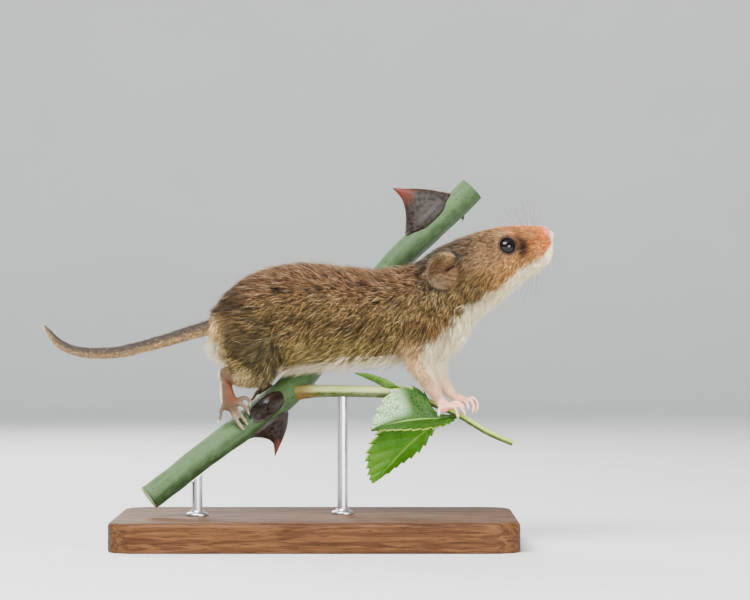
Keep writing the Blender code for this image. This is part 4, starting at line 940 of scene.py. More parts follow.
# the way each tuft lies
turn = clumpLean + fur["areaLean"] * wander(roots, 4.0, 3) + rng.normal(0, fur["ownLean"], tuftCount)
flow = unit(rootFlow - rootNormals * (rootFlow * rootNormals).sum(1, keepdims=True))
cross = np.cross(rootNormals, flow)
flow = flow * np.cos(turn)[:, None] + cross * np.sin(turn)[:, None]
length = rootLength * rng.uniform(0.75, 1.15, tuftCount)
rise = rootDepth * 0.92 * clumpLift * rng.uniform(0.75, 1.2, tuftCount)
palest = step01(0.35, 0.65, rootTones.mean(1))
# strays and the longer, finer guard hairs stand up; pale fur has more of them, and the chest the most
fluffy = np.exp(-((((roots - (23.0, 0.0, 33.5)) / (4.5, 9.0, 6.0)) ** 2).sum(1))) * palest
stray = rng.random(tuftCount) < fur["strays"]
guard = rng.random(tuftCount) < fur["guardHairs"] * (1 + 5.5 * palest + 9 * fluffy)
lift = rng.uniform(0.1, 0.34, tuftCount) * rootLength
lift = np.where(guard, rng.uniform(0.2, 0.6, tuftCount) * rootLength * (1 + 0.8 * palest + 1.3 * fluffy), lift)
rise = np.where(stray | guard, rise + lift, rise)
length = np.where(guard, length * rng.uniform(1.3, 1.9, tuftCount), length * np.where(stray, 1.2, 1.0))
rise = np.clip(rise, rng.uniform(0.1, 0.3, tuftCount) * length, 0.8 * length)
lighter, warmer = rng.normal(0, 1, (tuftCount, 1)), rng.normal(0, 1, (tuftCount, 1))
rootTones *= 1 + lighter * 0.09 + warmer * np.array((0.03, 0.0, -0.05))
rootTones = np.where(guard[:, None], rootTones * 0.85 + np.array(fur["guardTone"]), rootTones)
rootTones = np.clip(rootTones, 0.004, 0.97)
skinTree = BVHTree.FromPolygons([Vector(p) for p in skinPoints], skinTriangles.tolist())


def overSkin(points, heights):  # points laid at these heights over the skin
    placed = np.empty_like(points)
    for k, (point, height) in enumerate(zip(points, heights)):
        spot, normal, _, _ = skinTree.find_nearest(point)
        placed[k] = spot + normal * height
    return placed


pull = fur["clumpPull"]
middles = overSkin(roots + flow * (length * 0.45)[:, None] + toClump * (0.35 * pull), rise * 0.68)
tips = overSkin(roots + flow * (length * 0.95)[:, None] + toClump * pull, rise)
widths = np.clip(rootLength * fur["width"], fur["thinnest"], fur["thickest"]) * rng.uniform(0.75, 1.25, tuftCount)
widths *= np.where(guard, 0.5 + 0.15 * palest, 1.0)
stage("tufts laid")

# each tuft is a thin three-sided blade: root ring, middle ring and tip, or a root ring and tip where it is short
bentBlade = {"rings": 2, "faces": [(0, 2, 1), (0, 1, 4, 3), (1, 2, 5, 4), (2, 0, 3, 5), (3, 4, 6), (4, 5, 6),
                                   (5, 3, 6)]}
shortBlade = {"rings": 1, "faces": [(0, 2, 1), (0, 1, 3), (1, 2, 3), (2, 0, 3)]}
bladeSide, bladeOut, bladeMiddle = np.array([-0.5, 0.5, 0.0]), np.array([0.0, 0.0, 0.45]), 0.8
rootSunk = 0.06  # roots start this far under the skin
patchSize, patchEdge = 0.003, 0.004  # a tuft's patch on the OFBake map, and the map's margin


def tuftPiece(name, blade, chosen, material, patchU, patchV):
    count, size = len(chosen), 3 * blade["rings"] + 1
    points = np.empty((count, size, 3))
    normal = rootNormals[chosen]
    side = unit(np.cross(flow[chosen], normal))
    ringPlaces = ((roots[chosen] - normal * rootSunk, 1.0), (middles[chosen], bladeMiddle))[:blade["rings"]]
    for ring, (middle, scale) in enumerate(ringPlaces):
        wide = (widths[chosen] * scale)[:, None]
        for k in range(3):
            points[:, 3 * ring + k] = middle + side * wide * bladeSide[k] + normal * wide * bladeOut[k]
    points[:, -1] = tips[chosen]
    mesh = bpy.data.meshes.new(name)
    mesh.vertices.add(count * size)
    mesh.vertices.foreach_set("co", (points * mm).astype(np.float32).ravel())
    loop = np.concatenate([np.array(face) for face in blade["faces"]])
    sizes = np.array([len(face) for face in blade["faces"]])
    each = np.arange(count)[:, None]
    loops = (loop[None, :] + size * each).astype(np.int32).ravel()
    starts = np.concatenate([[0], np.cumsum(sizes)[:-1]])[None, :] + len(loop) * each
    mesh.loops.add(len(loops))
    mesh.loops.foreach_set("vertex_index", loops)
    mesh.polygons.add(count * len(sizes))
    mesh.polygons.foreach_set("loop_start", starts.astype(np.int32).ravel())
    mesh.update(calc_edges=True)
    mesh.shade_smooth()
    along = np.array([0, 0, 0, 0.45, 0.45, 0.45][:size - 1] + [1.0])
    strand = np.empty((count, size, 3))
    strand[:, :, 0] = along
    strand[:, :, 1] = tuftPick[chosen][:, None]
    strand[:, :, 2] = clumpPick[chosen][:, None]
    paintTones(mesh, "strand", strand.reshape(-1, 3))
    paintTones(mesh, "tone", np.repeat(rootTones[chosen], size, axis=0))
    offsetV = np.array([-0.5, 0.5, 0.0, -0.3, 0.3, 0.0][:size - 1] + [0.0])
    uv = np.empty((count, size, 2))
    uv[:, :, 0] = patchEdge + (1 - 2 * patchEdge) * patchU[:, None] + patchSize * (along - 0.5)
    uv[:, :, 1] = patchEdge + (1 - 2 * patchEdge) * patchV[:, None] + patchSize * offsetV
    layer = mesh.uv_layers.new(name="OFBake")
    layer.data.foreach_set("uv", uv.reshape(-1, 2)[loops].astype(np.float32).ravel())
    piece = pieceFrom(name, mesh)
    mesh.materials.append(material)
    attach(piece, "root")
    print(f"{name}: {count} tufts")
    coatPieces.append(piece)


coatPieces = []
tuftPick = rng.random(tuftCount)
# the dark streaks in front of the eye are tufts with black tips, and the palest fur has neither black nor gold
streaked = np.sqrt(((roots[:, 0] - 34.6) / 1.9) ** 2 + ((roots[:, 2] - 50.9) / 1.8) ** 2)
tuftPick *= 1 - 0.8 * step01(1.1, 0.4, streaked) * (np.abs(roots[:, 1]) > 1.6)
tuftPick = np.where(palest > 0.5, 0.23 + 0.5 * tuftPick, tuftPick)
trunkS = where["s"][nearestCorner]
trunkTurn = np.arctan2(where["sinTurn"], where["cosTurn"])[nearestCorner] / (2 * math.pi) + 0.5
limbKind, limbS = where["limb"][nearestCorner], where["limbS"][nearestCorner]
limbTurn = where["limbTurn"][nearestCorner] / (2 * math.pi) + 0.5
onEar = where["ear"][nearestCorner] > 0.5
onTrunk = (limbKind == 0) & ~onEar
onLeft = roots[:, 1] > 0
bodyCoat = coatMaterial("coat_body", 0.75, 0.30, 0.26, 1.4)
headCoat = coatMaterial("coat_head", 0.65, 0.26, 0.28, 1.45)
legCoat = coatMaterial("coat_legs", 0.6, 0.16, 0.26, 1.35)
# the trunk's coat in bands, each up to its place along the trunk
bands = [("rump", 2.6), ("loin", 4.05), ("flank", 4.95), ("waist", 5.55), ("side", 6.15), ("ribs", 6.8),
         ("chest", 7.5), ("shoulder", 8.7), ("nape", 10.2), ("crown", 12.0), ("cheek", 13.6), ("muzzle", 17.1)]
low = 0.0
for name, high in bands:
    chosen = np.flatnonzero(onTrunk & (trunkS >= low) & (trunkS < high))
    tuftPiece(f"coat_{name}", shortBlade if low > 10 else bentBlade, chosen, headCoat if low > 9 else bodyCoat,
              (trunkS[chosen] - low) / (high - low), trunkTurn[chosen])
    low = high
# the map of the tail's tufts is one strip, and that of each pair of legs and ears is two
for name, kind, strips in (("tail", 1, 1), ("hindlegs", 2, 2), ("forelegs", 3, 2)):
    chosen = np.flatnonzero((limbKind == kind) & ~onEar)
    strip = onLeft[chosen] * (strips - 1.0)
    tuftPiece(f"coat_{name}", shortBlade, chosen, legCoat, limbS[chosen] / 10.5, (strip + limbTurn[chosen]) / strips)
chosen = np.flatnonzero(onEar)
earMiddle = np.array([earPlace(side)[0] for side in (-1, 1)])
offset = (roots[chosen] - earMiddle[onLeft[chosen].astype(int)]) / 8.0 + 0.5
tuftPiece("coat_ears", shortBlade, chosen, headCoat, offset[:, 0], (offset[:, 2] + onLeft[chosen]) / 2)
triangles = [len(piece.data.loops) - 2 * len(piece.data.polygons) for piece in coatPieces]
print(f"coat: {sum(triangles)} triangles, {max(triangles)} in the largest")
stage("coat made")


# skin finish: toned where furred and darkened there as painted shade under the coat, pink and finely creased where
# bare, ringed on the tail
skinMaterial, tree, shader = newMaterial("skin", Specular_IOR_Level=0.2, Subsurface_Weight=0.12,
                                         Subsurface_Scale=0.0004)
tone = layerNode(tree, "tone")
bareHere, tailHere, earHere = splitColour(tree, layerNode(tree, "bare"))
place = objectPlace(tree)
mottle = noiseNode(tree, place, 1.2)
shadowed = mixColour(tree, "MULTIPLY", 1.0, tone, (0.36, 0.32, 0.30))
furred = mixColour(tree, "MIX", rangeNode(tree, brightness(tree, tone), 0.3, 0.75), shadowed, tone)
furred = mixColour(tree, "MIX", times(tree, earHere, 0.8), furred, tone)
pink = mixColour(tree, "MULTIPLY", rangeNode(tree, mottle, 0.35, 0.65, 0.0, 0.35), tone, (0.72, 0.45, 0.40))
rings = textureNode(tree, "Wave", place, wave_type="BANDS", bands_direction="X", Scale=700.0, Distortion=0.8,
                    Detail=1.0)
ringed = times(tree, rings.outputs["Fac"], tailHere)
furred = mixColour(tree, "MULTIPLY", times(tree, ringed, 0.7), furred, (0.4, 0.38, 0.36))
creases = mathNode(tree, "SUBTRACT", noiseNode(tree, place, 0.22), ringed)
feed(tree, shader, Base_Color=mixColour(tree, "MIX", bareHere, furred, pink),
     Roughness=rangeNode(tree, mottle, 0.3, 0.7, 0.42, 0.62), Normal=bumpNode(tree, creases, 0.35, 0.04))
skin = pieceFrom("mouse_skin", skinMesh)
skinMesh.materials.append(skinMaterial)
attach(skin, "root")
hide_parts("head", "neck", "torso", "foreleg_left", "foreleg_right", "hindleg_left", "hindleg_right",
            "hindfoot_left", "hindfoot_right", "forefoot_left", "forefoot_right", "nose",
            "tail_root", "tail_middle", "tail_tip", "ear_left", "ear_right")


# rose stem with its prickles: x, y, z and radius from the lower cut end
stemLine = [
    (-28.0, -5.3, 8.2, 2.15), (-24.0, -4.2, 11.2, 2.15), (-18.4, -2.6, 15.6, 2.2), (-12.9, -0.4, 19.6, 2.35),
    (-8.7, 1.7, 22.9, 2.5), (-5.3, 4.1, 25.5, 2.5), (-2.0, 7.4, 29.0, 2.4), (1.6, 10.9, 33.4, 2.35),
    (6.0, 13.3, 38.9, 2.35), (10.4, 14.7, 44.4, 2.35), (15.0, 15.6, 49.5, 2.35), (19.8, 16.3, 54.0, 2.35),
    (24.6, 17.0, 58.6, 2.35), (27.0, 17.3, 61.0, 2.35),
]
stalkLine = [
    (-5.0, 4.2, 25.4, 1.5), (-2.6, 3.2, 25.8, 1.35), (1.0, 2.0, 26.0, 1.1), (6.0, 1.0, 26.0, 1.05),
    (11.0, 0.3, 25.9, 1.05), (14.5, -0.1, 25.5, 0.85), (18.0, -0.5, 24.6, 0.65), (21.2, -0.7, 23.4, 0.58),
    (24.8, -0.8, 21.7, 0.56), (29.1, -0.8, 19.1, 0.54), (33.4, -0.6, 17.2, 0.52),
]
stem = {
    "ridges": 9, "ridgeHeight": 0.035, "sides": 48, "rings": 110, "cutRadius": 2.2,
    "prickleRings": 24, "prickleSides": 20, "prickleFoot": 0.86,  # the foot is that share of the stem's radius out
    # x on the stem, turn round it, height, base length, how far the point leans to the lower end
    "prickles": [(20.5, 0.0, 7.7, 11.8, 1.1), (-9.6, 180.0, 5.6, 9.6, 1.9), (-8.9, 70.0, 2.4, 8.0, 0.6),
                 (23.6, 180.0, 1.1, 1.6, 0.5)],
    # share of the height, of the base length and of the lean
    "prickleShape": [(-0.14, 0.92, 0.0), (0.0, 1.0, 0.0), (0.06, 0.9, -0.2), (0.18, 0.74, -0.4), (0.4, 0.5, -0.5),
                     (0.64, 0.27, -0.2), (0.84, 0.11, 0.45), (1.0, 0.015, 1.0)],
}


def markAlong(mesh, line):  # how far along a line each point is, and its turn round it, for patterns
    points = meshPoints(mesh)
    near, _ = nearestOn(line[:, :3], points)
    gaps = np.linalg.norm(np.diff(line[:, :3], axis=0), axis=1)
    far = np.concatenate([[0], np.cumsum(gaps)])[near]
    way = unit(np.gradient(line[:, :3], axis=0))[near]
    up = unit(np.array([0, 0, 1.0]) - way * way[:, 2:3])
    offset = points - line[near, :3]
    side = np.cross(way, up)
    turn = np.arctan2((offset * side).sum(1), (offset * up).sum(1))
    paintTones(mesh, "grain", np.stack([far * mm, np.cos(turn) * 2.3 * mm, np.sin(turn) * 2.3 * mm], 1))
    return far, turn


def cutEnds(bm, ends, radius):  # a cut end: rind, wood and a soft pith, as a second and third material
    for face in ends:
        face.material_index = 1
        face.smooth = False
        bmesh.ops.inset_individual(bm, faces=[face], thickness=radius * 0.12, depth=radius * 0.02)
        bmesh.ops.inset_individual(bm, faces=[face], thickness=radius * 0.42, depth=-radius * 0.02)
        face.material_index = 2
        bmesh.ops.inset_individual(bm, faces=[face], thickness=radius * 0.2, depth=-radius * 0.05)
        spread = bmesh.ops.poke(bm, faces=[face])
        for made in spread["faces"]:
            made.material_index = 2


bm = bmesh.new()
cutEnds(bm, ringsToBm(bm, lineRings(stemLine, stem["rings"]), stem["sides"]), stem["cutRadius"])
stemMesh = meshFromBm("rose_stem", bm)
far, turn = markAlong(stemMesh, denseLine(stemLine, 30))
points, push = meshPoints(stemMesh), meshNormals(stemMesh)
ridge = stem["ridgeHeight"] * np.sin(turn * stem["ridges"] + far * 0.09) + 0.05 * wander(points, 6.0, 21)
ridge *= step01(0.0, 1.0, far) * step01(far.max(), far.max() - 1.0, far)
node = np.exp(-((points[:, 0] + 5.3) / 1.7) ** 2) * 0.12
setPoints(stemMesh, points + push * (ridge + node - 0.02)[:, None])


def prickle(x, turn, height, base, back):  # its mesh in the making, and its tip
    s = min((k / 40 for k in range(40 * (len(stemLine) - 1))), key=lambda s: abs(alongCurve(stemLine, s)[0] - x))
    row, along = alongCurve(stemLine, s), wayAlong(stemLine, s)
    up = (Vector((0, 0, 1)) - along * along.z).normalized()
    out = up * math.cos(math.radians(turn)) - up.cross(along) * math.sin(math.radians(turn))
    across = along.cross(out)
    foot = Vector(row[:3]) + out * row[3] * stem["prickleFoot"]
    shape = stem["prickleShape"]
    rings = []
    for k in range(stem["prickleRings"] + 1):
        rise, share, tilt = alongCurve(shape, (len(shape) - 1) * k / stem["prickleRings"])
        middle = foot + out * height * rise - along * back * tilt
        wide = min(base * share * 0.5, 0.35 + base * 0.17 * share) * (1.0 if rise > 0.05 else 1.06)
        rings.append((middle, along, across, base * 0.5 * share, wide))
    bm = bmesh.new()
    ringsToBm(bm, rings, stem["prickleSides"])
    return bm, rings[-1][0]


prickles = []
for number, sizes in enumerate(stem["prickles"]):
    bm, tip = prickle(*sizes)
    mesh = meshFromBm(f"prickle_{number}", bm)
    points = meshPoints(mesh)
    fromTip = np.linalg.norm(points - np.array(tip), axis=1) / sizes[2]
    reach = (1 - np.clip(fromTip, 0, 1)) * (0.3 if number == 2 else 1.0)
    setPoints(mesh, points + meshNormals(mesh) * (0.035 * wander(points, 1.1, 31 + number) * (1 - reach))[:, None])
    paintTones(mesh, "grain", np.stack([reach, reach, reach], 1))
    prickles.append(pieceFrom(f"prickle_{number}", mesh))

# streaks along a stem or stalk, specks and bloom, shared by the green parts
streakGroup, streakIn, streakOut = newGroup(
    "stemStreaks", [("Grain", "NodeSocketVector", None), ("Fineness", "NodeSocketFloat", 3.0)],
    [("Streak", "NodeSocketFloat"), ("Speck", "NodeSocketFloat"), ("Bloom", "NodeSocketFloat")])
grain = streakIn.outputs["Grain"]
streak = textureNode(streakGroup, "Noise", stretched(streakGroup, grain, 0.12, 1.0, 1.0), Detail=5.0, Roughness=0.65)
streakGroup.links.new(times(streakGroup, streakIn.outputs["Fineness"], 1000.0), streak.inputs["Scale"])
streakGroup.links.new(rangeNode(streakGroup, streak.outputs["Fac"], 0.36, 0.66), streakOut.inputs["Streak"])
speck = textureNode(streakGroup, "Voronoi", stretched(streakGroup, grain, 0.55, 1.0, 1.0), Scale=1100.0)
rare = splitColour(streakGroup, speck.outputs["Color"])[0]
speckDot = times(streakGroup, rangeNode(streakGroup, speck.outputs["Distance"], 0.22, 0.10),
                 rangeNode(streakGroup, rare, 0.72, 0.78))
streakGroup.links.new(speckDot, streakOut.inputs["Speck"])
bloom = textureNode(streakGroup, "Noise", grain, Scale=620.0, Detail=7.0, Roughness=0.7)
streakGroup.links.new(rangeNode(streakGroup, bloom.outputs["Fac"], 0.35, 0.68), streakOut.inputs["Bloom"])


def sideLight(tree, low, high):  # 0 on the underside to 1 on top, from the surface's own shape, for painted light and shade
    return rangeNode(tree, axisOf(tree, tree.nodes.new("ShaderNodeNewGeometry").outputs["Normal"], 2), low, high)


def greenMaterial(name, top, under, bloomColour, speckColour, fineness, bloomShare, roughness=0.5, turn=(-0.7, 0.7)):
    material, tree, shader = newMaterial(name, Specular_IOR_Level=0.3)
    streaks = addNode(tree, "ShaderNodeGroup", node_tree=streakGroup)
    streaks.inputs["Fineness"].default_value = fineness
    tree.links.new(layerNode(tree, "grain", "Vector"), streaks.inputs["Grain"])
    streak, speck, bloom = (streaks.outputs[name] for name in ("Streak", "Speck", "Bloom"))
    # painted light and shade: the top tone is lit and the under tone shaded, by which way the surface faces
    body = mixColour(tree, "MIX", sideLight(tree, *turn), under, top)
    body = mixColour(tree, "MULTIPLY", times(tree, streak, 0.55), body, (0.62, 0.72, 0.55))
    body = mixColour(tree, "MIX", times(tree, bloom, bloomShare), body, bloomColour)
    body = mixColour(tree, "MIX", times(tree, speck, 0.85), body, speckColour)
    feed(tree, shader, Base_Color=body, Roughness=rangeNode(tree, bloom, 0.0, 1.0, roughness, roughness + 0.2),
         Normal=bumpNode(tree, streak, 0.35, 0.05))
    return material, tree, shader, body


# the stem's lighter top and darker underside are painted light and shade
stemMaterial, *_ = greenMaterial("stem_rind", (0.044, 0.088, 0.022), (0.015, 0.040, 0.007), (0.12, 0.20, 0.092),
                                 (0.003, 0.007, 0.003), 4.2, 0.32)
woodMaterial = mottledMaterial("stem_wood", 0.35, (0.50, 0.54, 0.26), (0.28, 0.33, 0.12), Roughness=0.8)
pithMaterial = mottledMaterial("stem_pith", 0.25, (0.86, 0.84, 0.70), (0.62, 0.58, 0.44), Roughness=0.95)
roseStem = pieceFrom("rose_stem", stemMesh)
for material in (stemMaterial, woodMaterial, pithMaterial):
    stemMesh.materials.append(material)

prickleMaterial, tree, shader = newMaterial("prickle_bark", Specular_IOR_Level=0.22)
place = objectPlace(tree)
toTip = splitColour(tree, layerNode(tree, "grain"))[0]
grime = noiseNode(tree, place, 0.7, 6.0)
body = mixColour(tree, "MIX", rangeNode(tree, grime, 0.35, 0.62), (0.006, 0.004, 0.003), (0.034, 0.024, 0.018))
body = mixColour(tree, "MIX", times(tree, rangeNode(tree, toTip, 0.35, 0.8), 0.85), body, (0.12, 0.022, 0.010))
# painted highlight: faces turned up are painted lighter and redder
body = mixColour(tree, "MIX", times(tree, sideLight(tree, 0.82, 1.0), 0.5), body, (0.26, 0.075, 0.06))
feed(tree, shader, Base_Color=body, Roughness=rangeNode(tree, grime, 0.3, 0.7, 0.35, 0.6),
     Normal=bumpNode(tree, noiseNode(tree, place, 0.28), 0.4, 0.06))
for piece in prickles:
    piece.data.materials.append(prickleMaterial)
for piece in (roseStem, *prickles):
    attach(piece, "root")
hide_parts("perch_stem")
stage("stem made")

# leaf stalk with its stipule
stalk = {"start": 0.75, "rings": 120, "sides": 28, "groove": 0.10, "cutRadius": 0.52}
bm = bmesh.new()
ends = ringsToBm(bm, lineRings(stalkLine, stalk["rings"], stalk["start"]), stalk["sides"])
cutEnds(bm, [face for face in ends if face.calc_center_median().x > 20], stalk["cutRadius"])  # the free end only
stalkMesh = meshFromBm("leaf_stalk", bm)
stalkDense = denseLine(stalkLine, 30)
far, turn = markAlong(stalkMesh, stalkDense)
points, push = meshPoints(stalkMesh), meshNormals(stalkMesh)
radius = stalkDense[nearestOn(stalkDense[:, :3], points)[0], 3]
shape = -stalk["groove"] * radius * np.exp(-(turn / 0.45) ** 2) + 0.03 * wander(points, 3.0, 41)
shape += 0.05 * radius * np.exp(-((np.abs(turn) - 0.9) / 0.35) ** 2)
setPoints(stalkMesh, points + push * (shape * step01(0.0, 1.0, far))[:, None])
# the stalk's bright top is a painted highlight and its dark underside painted shade
stalkMaterial, tree, shader, body = greenMaterial(
    "stalk_rind", (0.58, 0.64, 0.21), (0.055, 0.085, 0.003), (0.78, 0.80, 0.55), (0.16, 0.05, 0.012), 3.4, 0.2, 0.4,
    (-0.3, 0.12))
# brown by the stem and greener towards the leaflets; places in metres
ahead = axisOf(tree, objectPlace(tree), 0)
browned = mixColour(tree, "MIX", rangeNode(tree, ahead, 0.0012, -0.003, 0.0, 0.8), body, (0.17, 0.09, 0.02))
green = mixColour(tree, "MULTIPLY", 1.0, browned, (0.52, 0.72, 0.22))
browned = mixColour(tree, "MIX", times(tree, rangeNode(tree, ahead, 0.0185, 0.0225), 0.85), browned, green)
feed(tree, shader, Base_Color=browned)


def thicken(piece, thickness):
    solid = piece.modifiers.new("thickness", "SOLIDIFY")
    solid.thickness, solid.offset = thickness * mm, 0.0


# the stipule: a narrow toothed blade lying back along the stalk; x, y, z and half width
stipule = {"line": [(14.2, -0.5, 26.0), (12.4, -0.7, 27.0), (10.4, -0.9, 28.0), (8.4, -1.1, 28.7), (6.6, -1.3, 29.1)],
           "wide": [(0, 0.6), (0.3, 0.78), (0.7, 0.48), (1, 0.04)], "teeth": 15, "rows": 52, "across": 6,
           "thickness": 0.18}
bm = bmesh.new()
bmesh.ops.create_grid(bm, x_segments=stipule["rows"], y_segments=stipule["across"], size=0.5)
for vert in bm.verts:
    u, v = vert.co.x + 0.5, vert.co.y * 2
    spine = Vector(alongCurve(stipule["line"], u * (len(stipule["line"]) - 1)))
    wide = readTable(stipule["wide"], u) * (1 + 0.28 * abs(v) ** 3 * ((u * stipule["teeth"]) % 1.0 - 0.3))
    vert.co = spine + Vector((0.25, -0.42, 0.87)) * wide * v + Vector((0, -0.35, 0.1)) * (1 - v * v) * wide
marks = bm.verts.layers.float_color.new("grain")
for vert in bm.verts:
    vert[marks] = (vert.co.x * mm, vert.co.z * mm, 0.0, 1.0)
bmesh.ops.remove_doubles(bm, verts=bm.verts, dist=0.01)
stipulePiece = pieceFrom("stipule", meshFromBm("stipule", bm))
thicken(stipulePiece, stipule["thickness"])
# the stipule's lighter top and darker underside are painted light and shade
stipuleMaterial, *_ = greenMaterial("stipule_green", (0.10, 0.24, 0.020), (0.045, 0.12, 0.008), (0.20, 0.36, 0.06),
                                    (0.015, 0.03, 0.008), 2.2, 0.35)
stipulePiece.data.materials.append(stipuleMaterial)
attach(stipulePiece, "root")
leafStalk = pieceFrom("leaf_stalk", stalkMesh)
for material in (stalkMaterial, woodMaterial, pithMaterial):
    stalkMesh.materials.append(material)
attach(leafStalk, "root")
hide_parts("perch_stalk")
stage("stalk made")

# leaflets: midrib and two edges from base to tip, and how the teeth and veins run
leaflets = {
    "leaflet_upper": {
        "node": "perch_leaflet_upper",
        "midrib": [(23.8, -1.4, 21.7), (21.0, -2.2, 21.4), (17.2, -2.8, 21.2), (13.3, -3.1, 20.6), (9.4, -3.3, 19.6)],
        "edgeA": [(23.6, -1.4, 22.0), (20.0, -1.9, 22.6), (18.0, -2.0, 26.2), (13.4, -2.2, 26.7), (10.4, -2.8, 23.0),
                  (9.3, -3.3, 19.9)],
        "edgeB": [(23.8, -1.6, 21.3), (21.6, -4.6, 20.2), (17.6, -7.0, 19.7), (13.0, -6.6, 19.6), (9.5, -3.4, 19.3)],
        "teeth": 11, "tooth": 0.75, "veins": 7, "rows": 110, "across": 18, "thickness": 0.2,
        # the upper leaflet's top tone is the leaf's green darkened partly as painted shade from the mouse above it
        "top": (0.009, 0.038, 0.001), "sheenTone": (0.40, 0.56, 0.31), "sheenShare": 0.95,
    },
    "leaflet_lower": {
        "node": "perch_leaflet_lower",
        "midrib": [(23.4, -0.2, 21.2), (19.3, 0.7, 19.6), (15.6, 0.9, 16.6), (12.2, 0.8, 13.0), (9.6, 0.6, 10.4)],
        "edgeA": [(23.2, -0.4, 21.4), (17.0, -0.7, 20.4), (11.0, -1.2, 19.2), (8.6, -0.6, 15.6), (8.8, 0.2, 12.2),
                  (9.4, 0.6, 10.4)],
        "edgeB": [(23.6, 0.0, 21.0), (20.6, 2.0, 19.6), (17.8, 3.0, 15.8), (13.6, 2.2, 12.9), (9.8, 0.7, 10.3)],
        "teeth": 12, "tooth": 0.8, "veins": 8, "rows": 110, "across": 18, "thickness": 0.2,
        "top": (0.028, 0.115, 0.001), "sheenTone": (0.09, 0.22, 0.01), "sheenShare": 0.3,
    },
}


def leafMaterial(name, leaf):
    material, tree, shader = newMaterial(name, Specular_IOR_Level=0.2)
    along, across, rib = splitColour(tree, layerNode(tree, "grain"))
    toMid = mathNode(tree, "ABSOLUTE", mathNode(tree, "SUBTRACT", across, 0.5))
    midVein = rangeNode(tree, toMid, 0.035, 0.012)
    fromRib = mathNode(tree, "ABSOLUTE", mathNode(tree, "SUBTRACT", rib, 0.5))
    sideVein = times(tree, rangeNode(tree, fromRib, 0.455, 0.488), 0.6)
    place = objectPlace(tree)
    net = textureNode(tree, "Voronoi", place, feature="DISTANCE_TO_EDGE", Scale=1750.0)
    # painted sheen: a pale reflection laid over part of one half of the blade
    sheen = times(tree, rangeNode(tree, across, 0.48, 0.30), leaf["sheenShare"])
    sheen = times(tree, sheen, rangeNode(tree, along, 0.5, 0.64))
    netVein = times(tree, rangeNode(tree, net.outputs["Distance"], 0.17, 0.05),
                    mathNode(tree, "MULTIPLY_ADD", sheen, 0.6, 0.2))
    veins = mathNode(tree, "MAXIMUM", mathNode(tree, "MAXIMUM", midVein, sideVein), netVein)
    patchy = noiseNode(tree, place, 3.0)
    lighter = tuple(c * 1.35 for c in leaf["top"])
    body = mixColour(tree, "MIX", rangeNode(tree, patchy, 0.3, 0.7), leaf["top"], lighter)
    body = mixColour(tree, "MIX", sheen, body, leaf["sheenTone"])
    veinTone = mixColour(tree, "MIX", sheen, (0.13, 0.26, 0.035), (0.030, 0.10, 0.020))
    body = mixColour(tree, "MIX", times(tree, veins, 0.9), body, veinTone)
    body = mixColour(tree, "MIX", times(tree, rangeNode(tree, toMid, 0.47, 0.495), 0.6), body, (0.36, 0.46, 0.07))
    feed(tree, shader, Base_Color=body, Roughness=rangeNode(tree, patchy, 0.3, 0.7, 0.38, 0.55),
         Normal=bumpNode(tree, veins, -0.5, 0.08))
    return material


for name, leaf in leaflets.items():
    bm = bmesh.new()
    bmesh.ops.create_grid(bm, x_segments=leaf["rows"], y_segments=2 * leaf["across"], size=0.5)
    flat = [(vert.co.x + 0.5, vert.co.y * 2) for vert in bm.verts]  # share along the leaflet, and -1 to 1 across it
    for vert, (u, v) in zip(bm.verts, flat):
        line = leaf["edgeA"] if v < 0 else leaf["edgeB"]
        last = len(line) - 1
        spine = Vector(alongCurve(leaf["midrib"], u * (len(leaf["midrib"]) - 1)))
        onward = (Vector(alongCurve(line, min(u + 0.04, 1.0) * last))
                  - Vector(alongCurve(line, max(u - 0.04, 0.0) * last))).normalized()
        reach = Vector(alongCurve(line, u * last)) - spine
        tooth = ((u * leaf["teeth"] + 0.2 * math.sin(u * 9.0)) % 1.0) ** 1.3 * min(1.0, reach.length / 1.6)
        toothed = reach.normalized() * (tooth - 0.55) + onward * tooth * 0.6
        vert.co = spine + reach * abs(v) + toothed * leaf["tooth"] * abs(v) ** 5
    bm.normal_update()
    marks = bm.verts.layers.float_color.new("grain")
    lifts = []
    for vert, (u, v) in zip(bm.verts, flat):
        ribs = (u * leaf["veins"] - abs(v) * 1.2) % 1.0
        vert[marks] = (u, 0.5 + 0.5 * v, ribs, 1.0)
        quilt = 0.13 * abs(math.sin(math.pi * ribs)) ** 0.6 * abs(math.sin(math.pi * min(abs(v) * 1.05, 1.0)))
        lifts.append(vert.co + vert.normal * (quilt - 0.05 * math.exp(-(v / 0.05) ** 2)))
    for vert, lifted in zip(bm.verts, lifts):
        vert.co = lifted
    bmesh.ops.remove_doubles(bm, verts=bm.verts, dist=0.01)
    bmesh.ops.dissolve_degenerate(bm, dist=0.01, edges=bm.edges)
    bmesh.ops.recalc_face_normals(bm, faces=bm.faces)
    piece = pieceFrom(name, meshFromBm(name, bm))
    thicken(piece, leaf["thickness"])
    piece.data.materials.append(leafMaterial(name + "_blade", leaf))
    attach(piece, "root")
    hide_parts(leaf["node"])
stage("leaflets made")

# eyes
bm = bmesh.new()
for side in sides.values():
    middle, look = eyePlace(side)
    ball = bmesh.ops.create_uvsphere(bm, u_segments=eyes["round"], v_segments=eyes["high"], radius=eyes["radius"])
    turned = look.to_track_quat("Z", "Y").to_matrix().to_4x4()
    bmesh.ops.transform(bm, matrix=Matrix.Translation(middle) @ turned, verts=ball["verts"])
eyeMaterial = mottledMaterial("eye_black", 1.6, (0.001, 0.001, 0.001), (0.006, 0.003, 0.002), 0.35, 0.7,
                              Roughness=0.025, Specular_IOR_Level=0.3)
eyeballs = pieceFrom("eyeballs", meshFromBm("eyeballs", bm))
eyeballs.data.materials.append(eyeMaterial)
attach(eyeballs, "root")
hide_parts("eye_left", "eye_right")

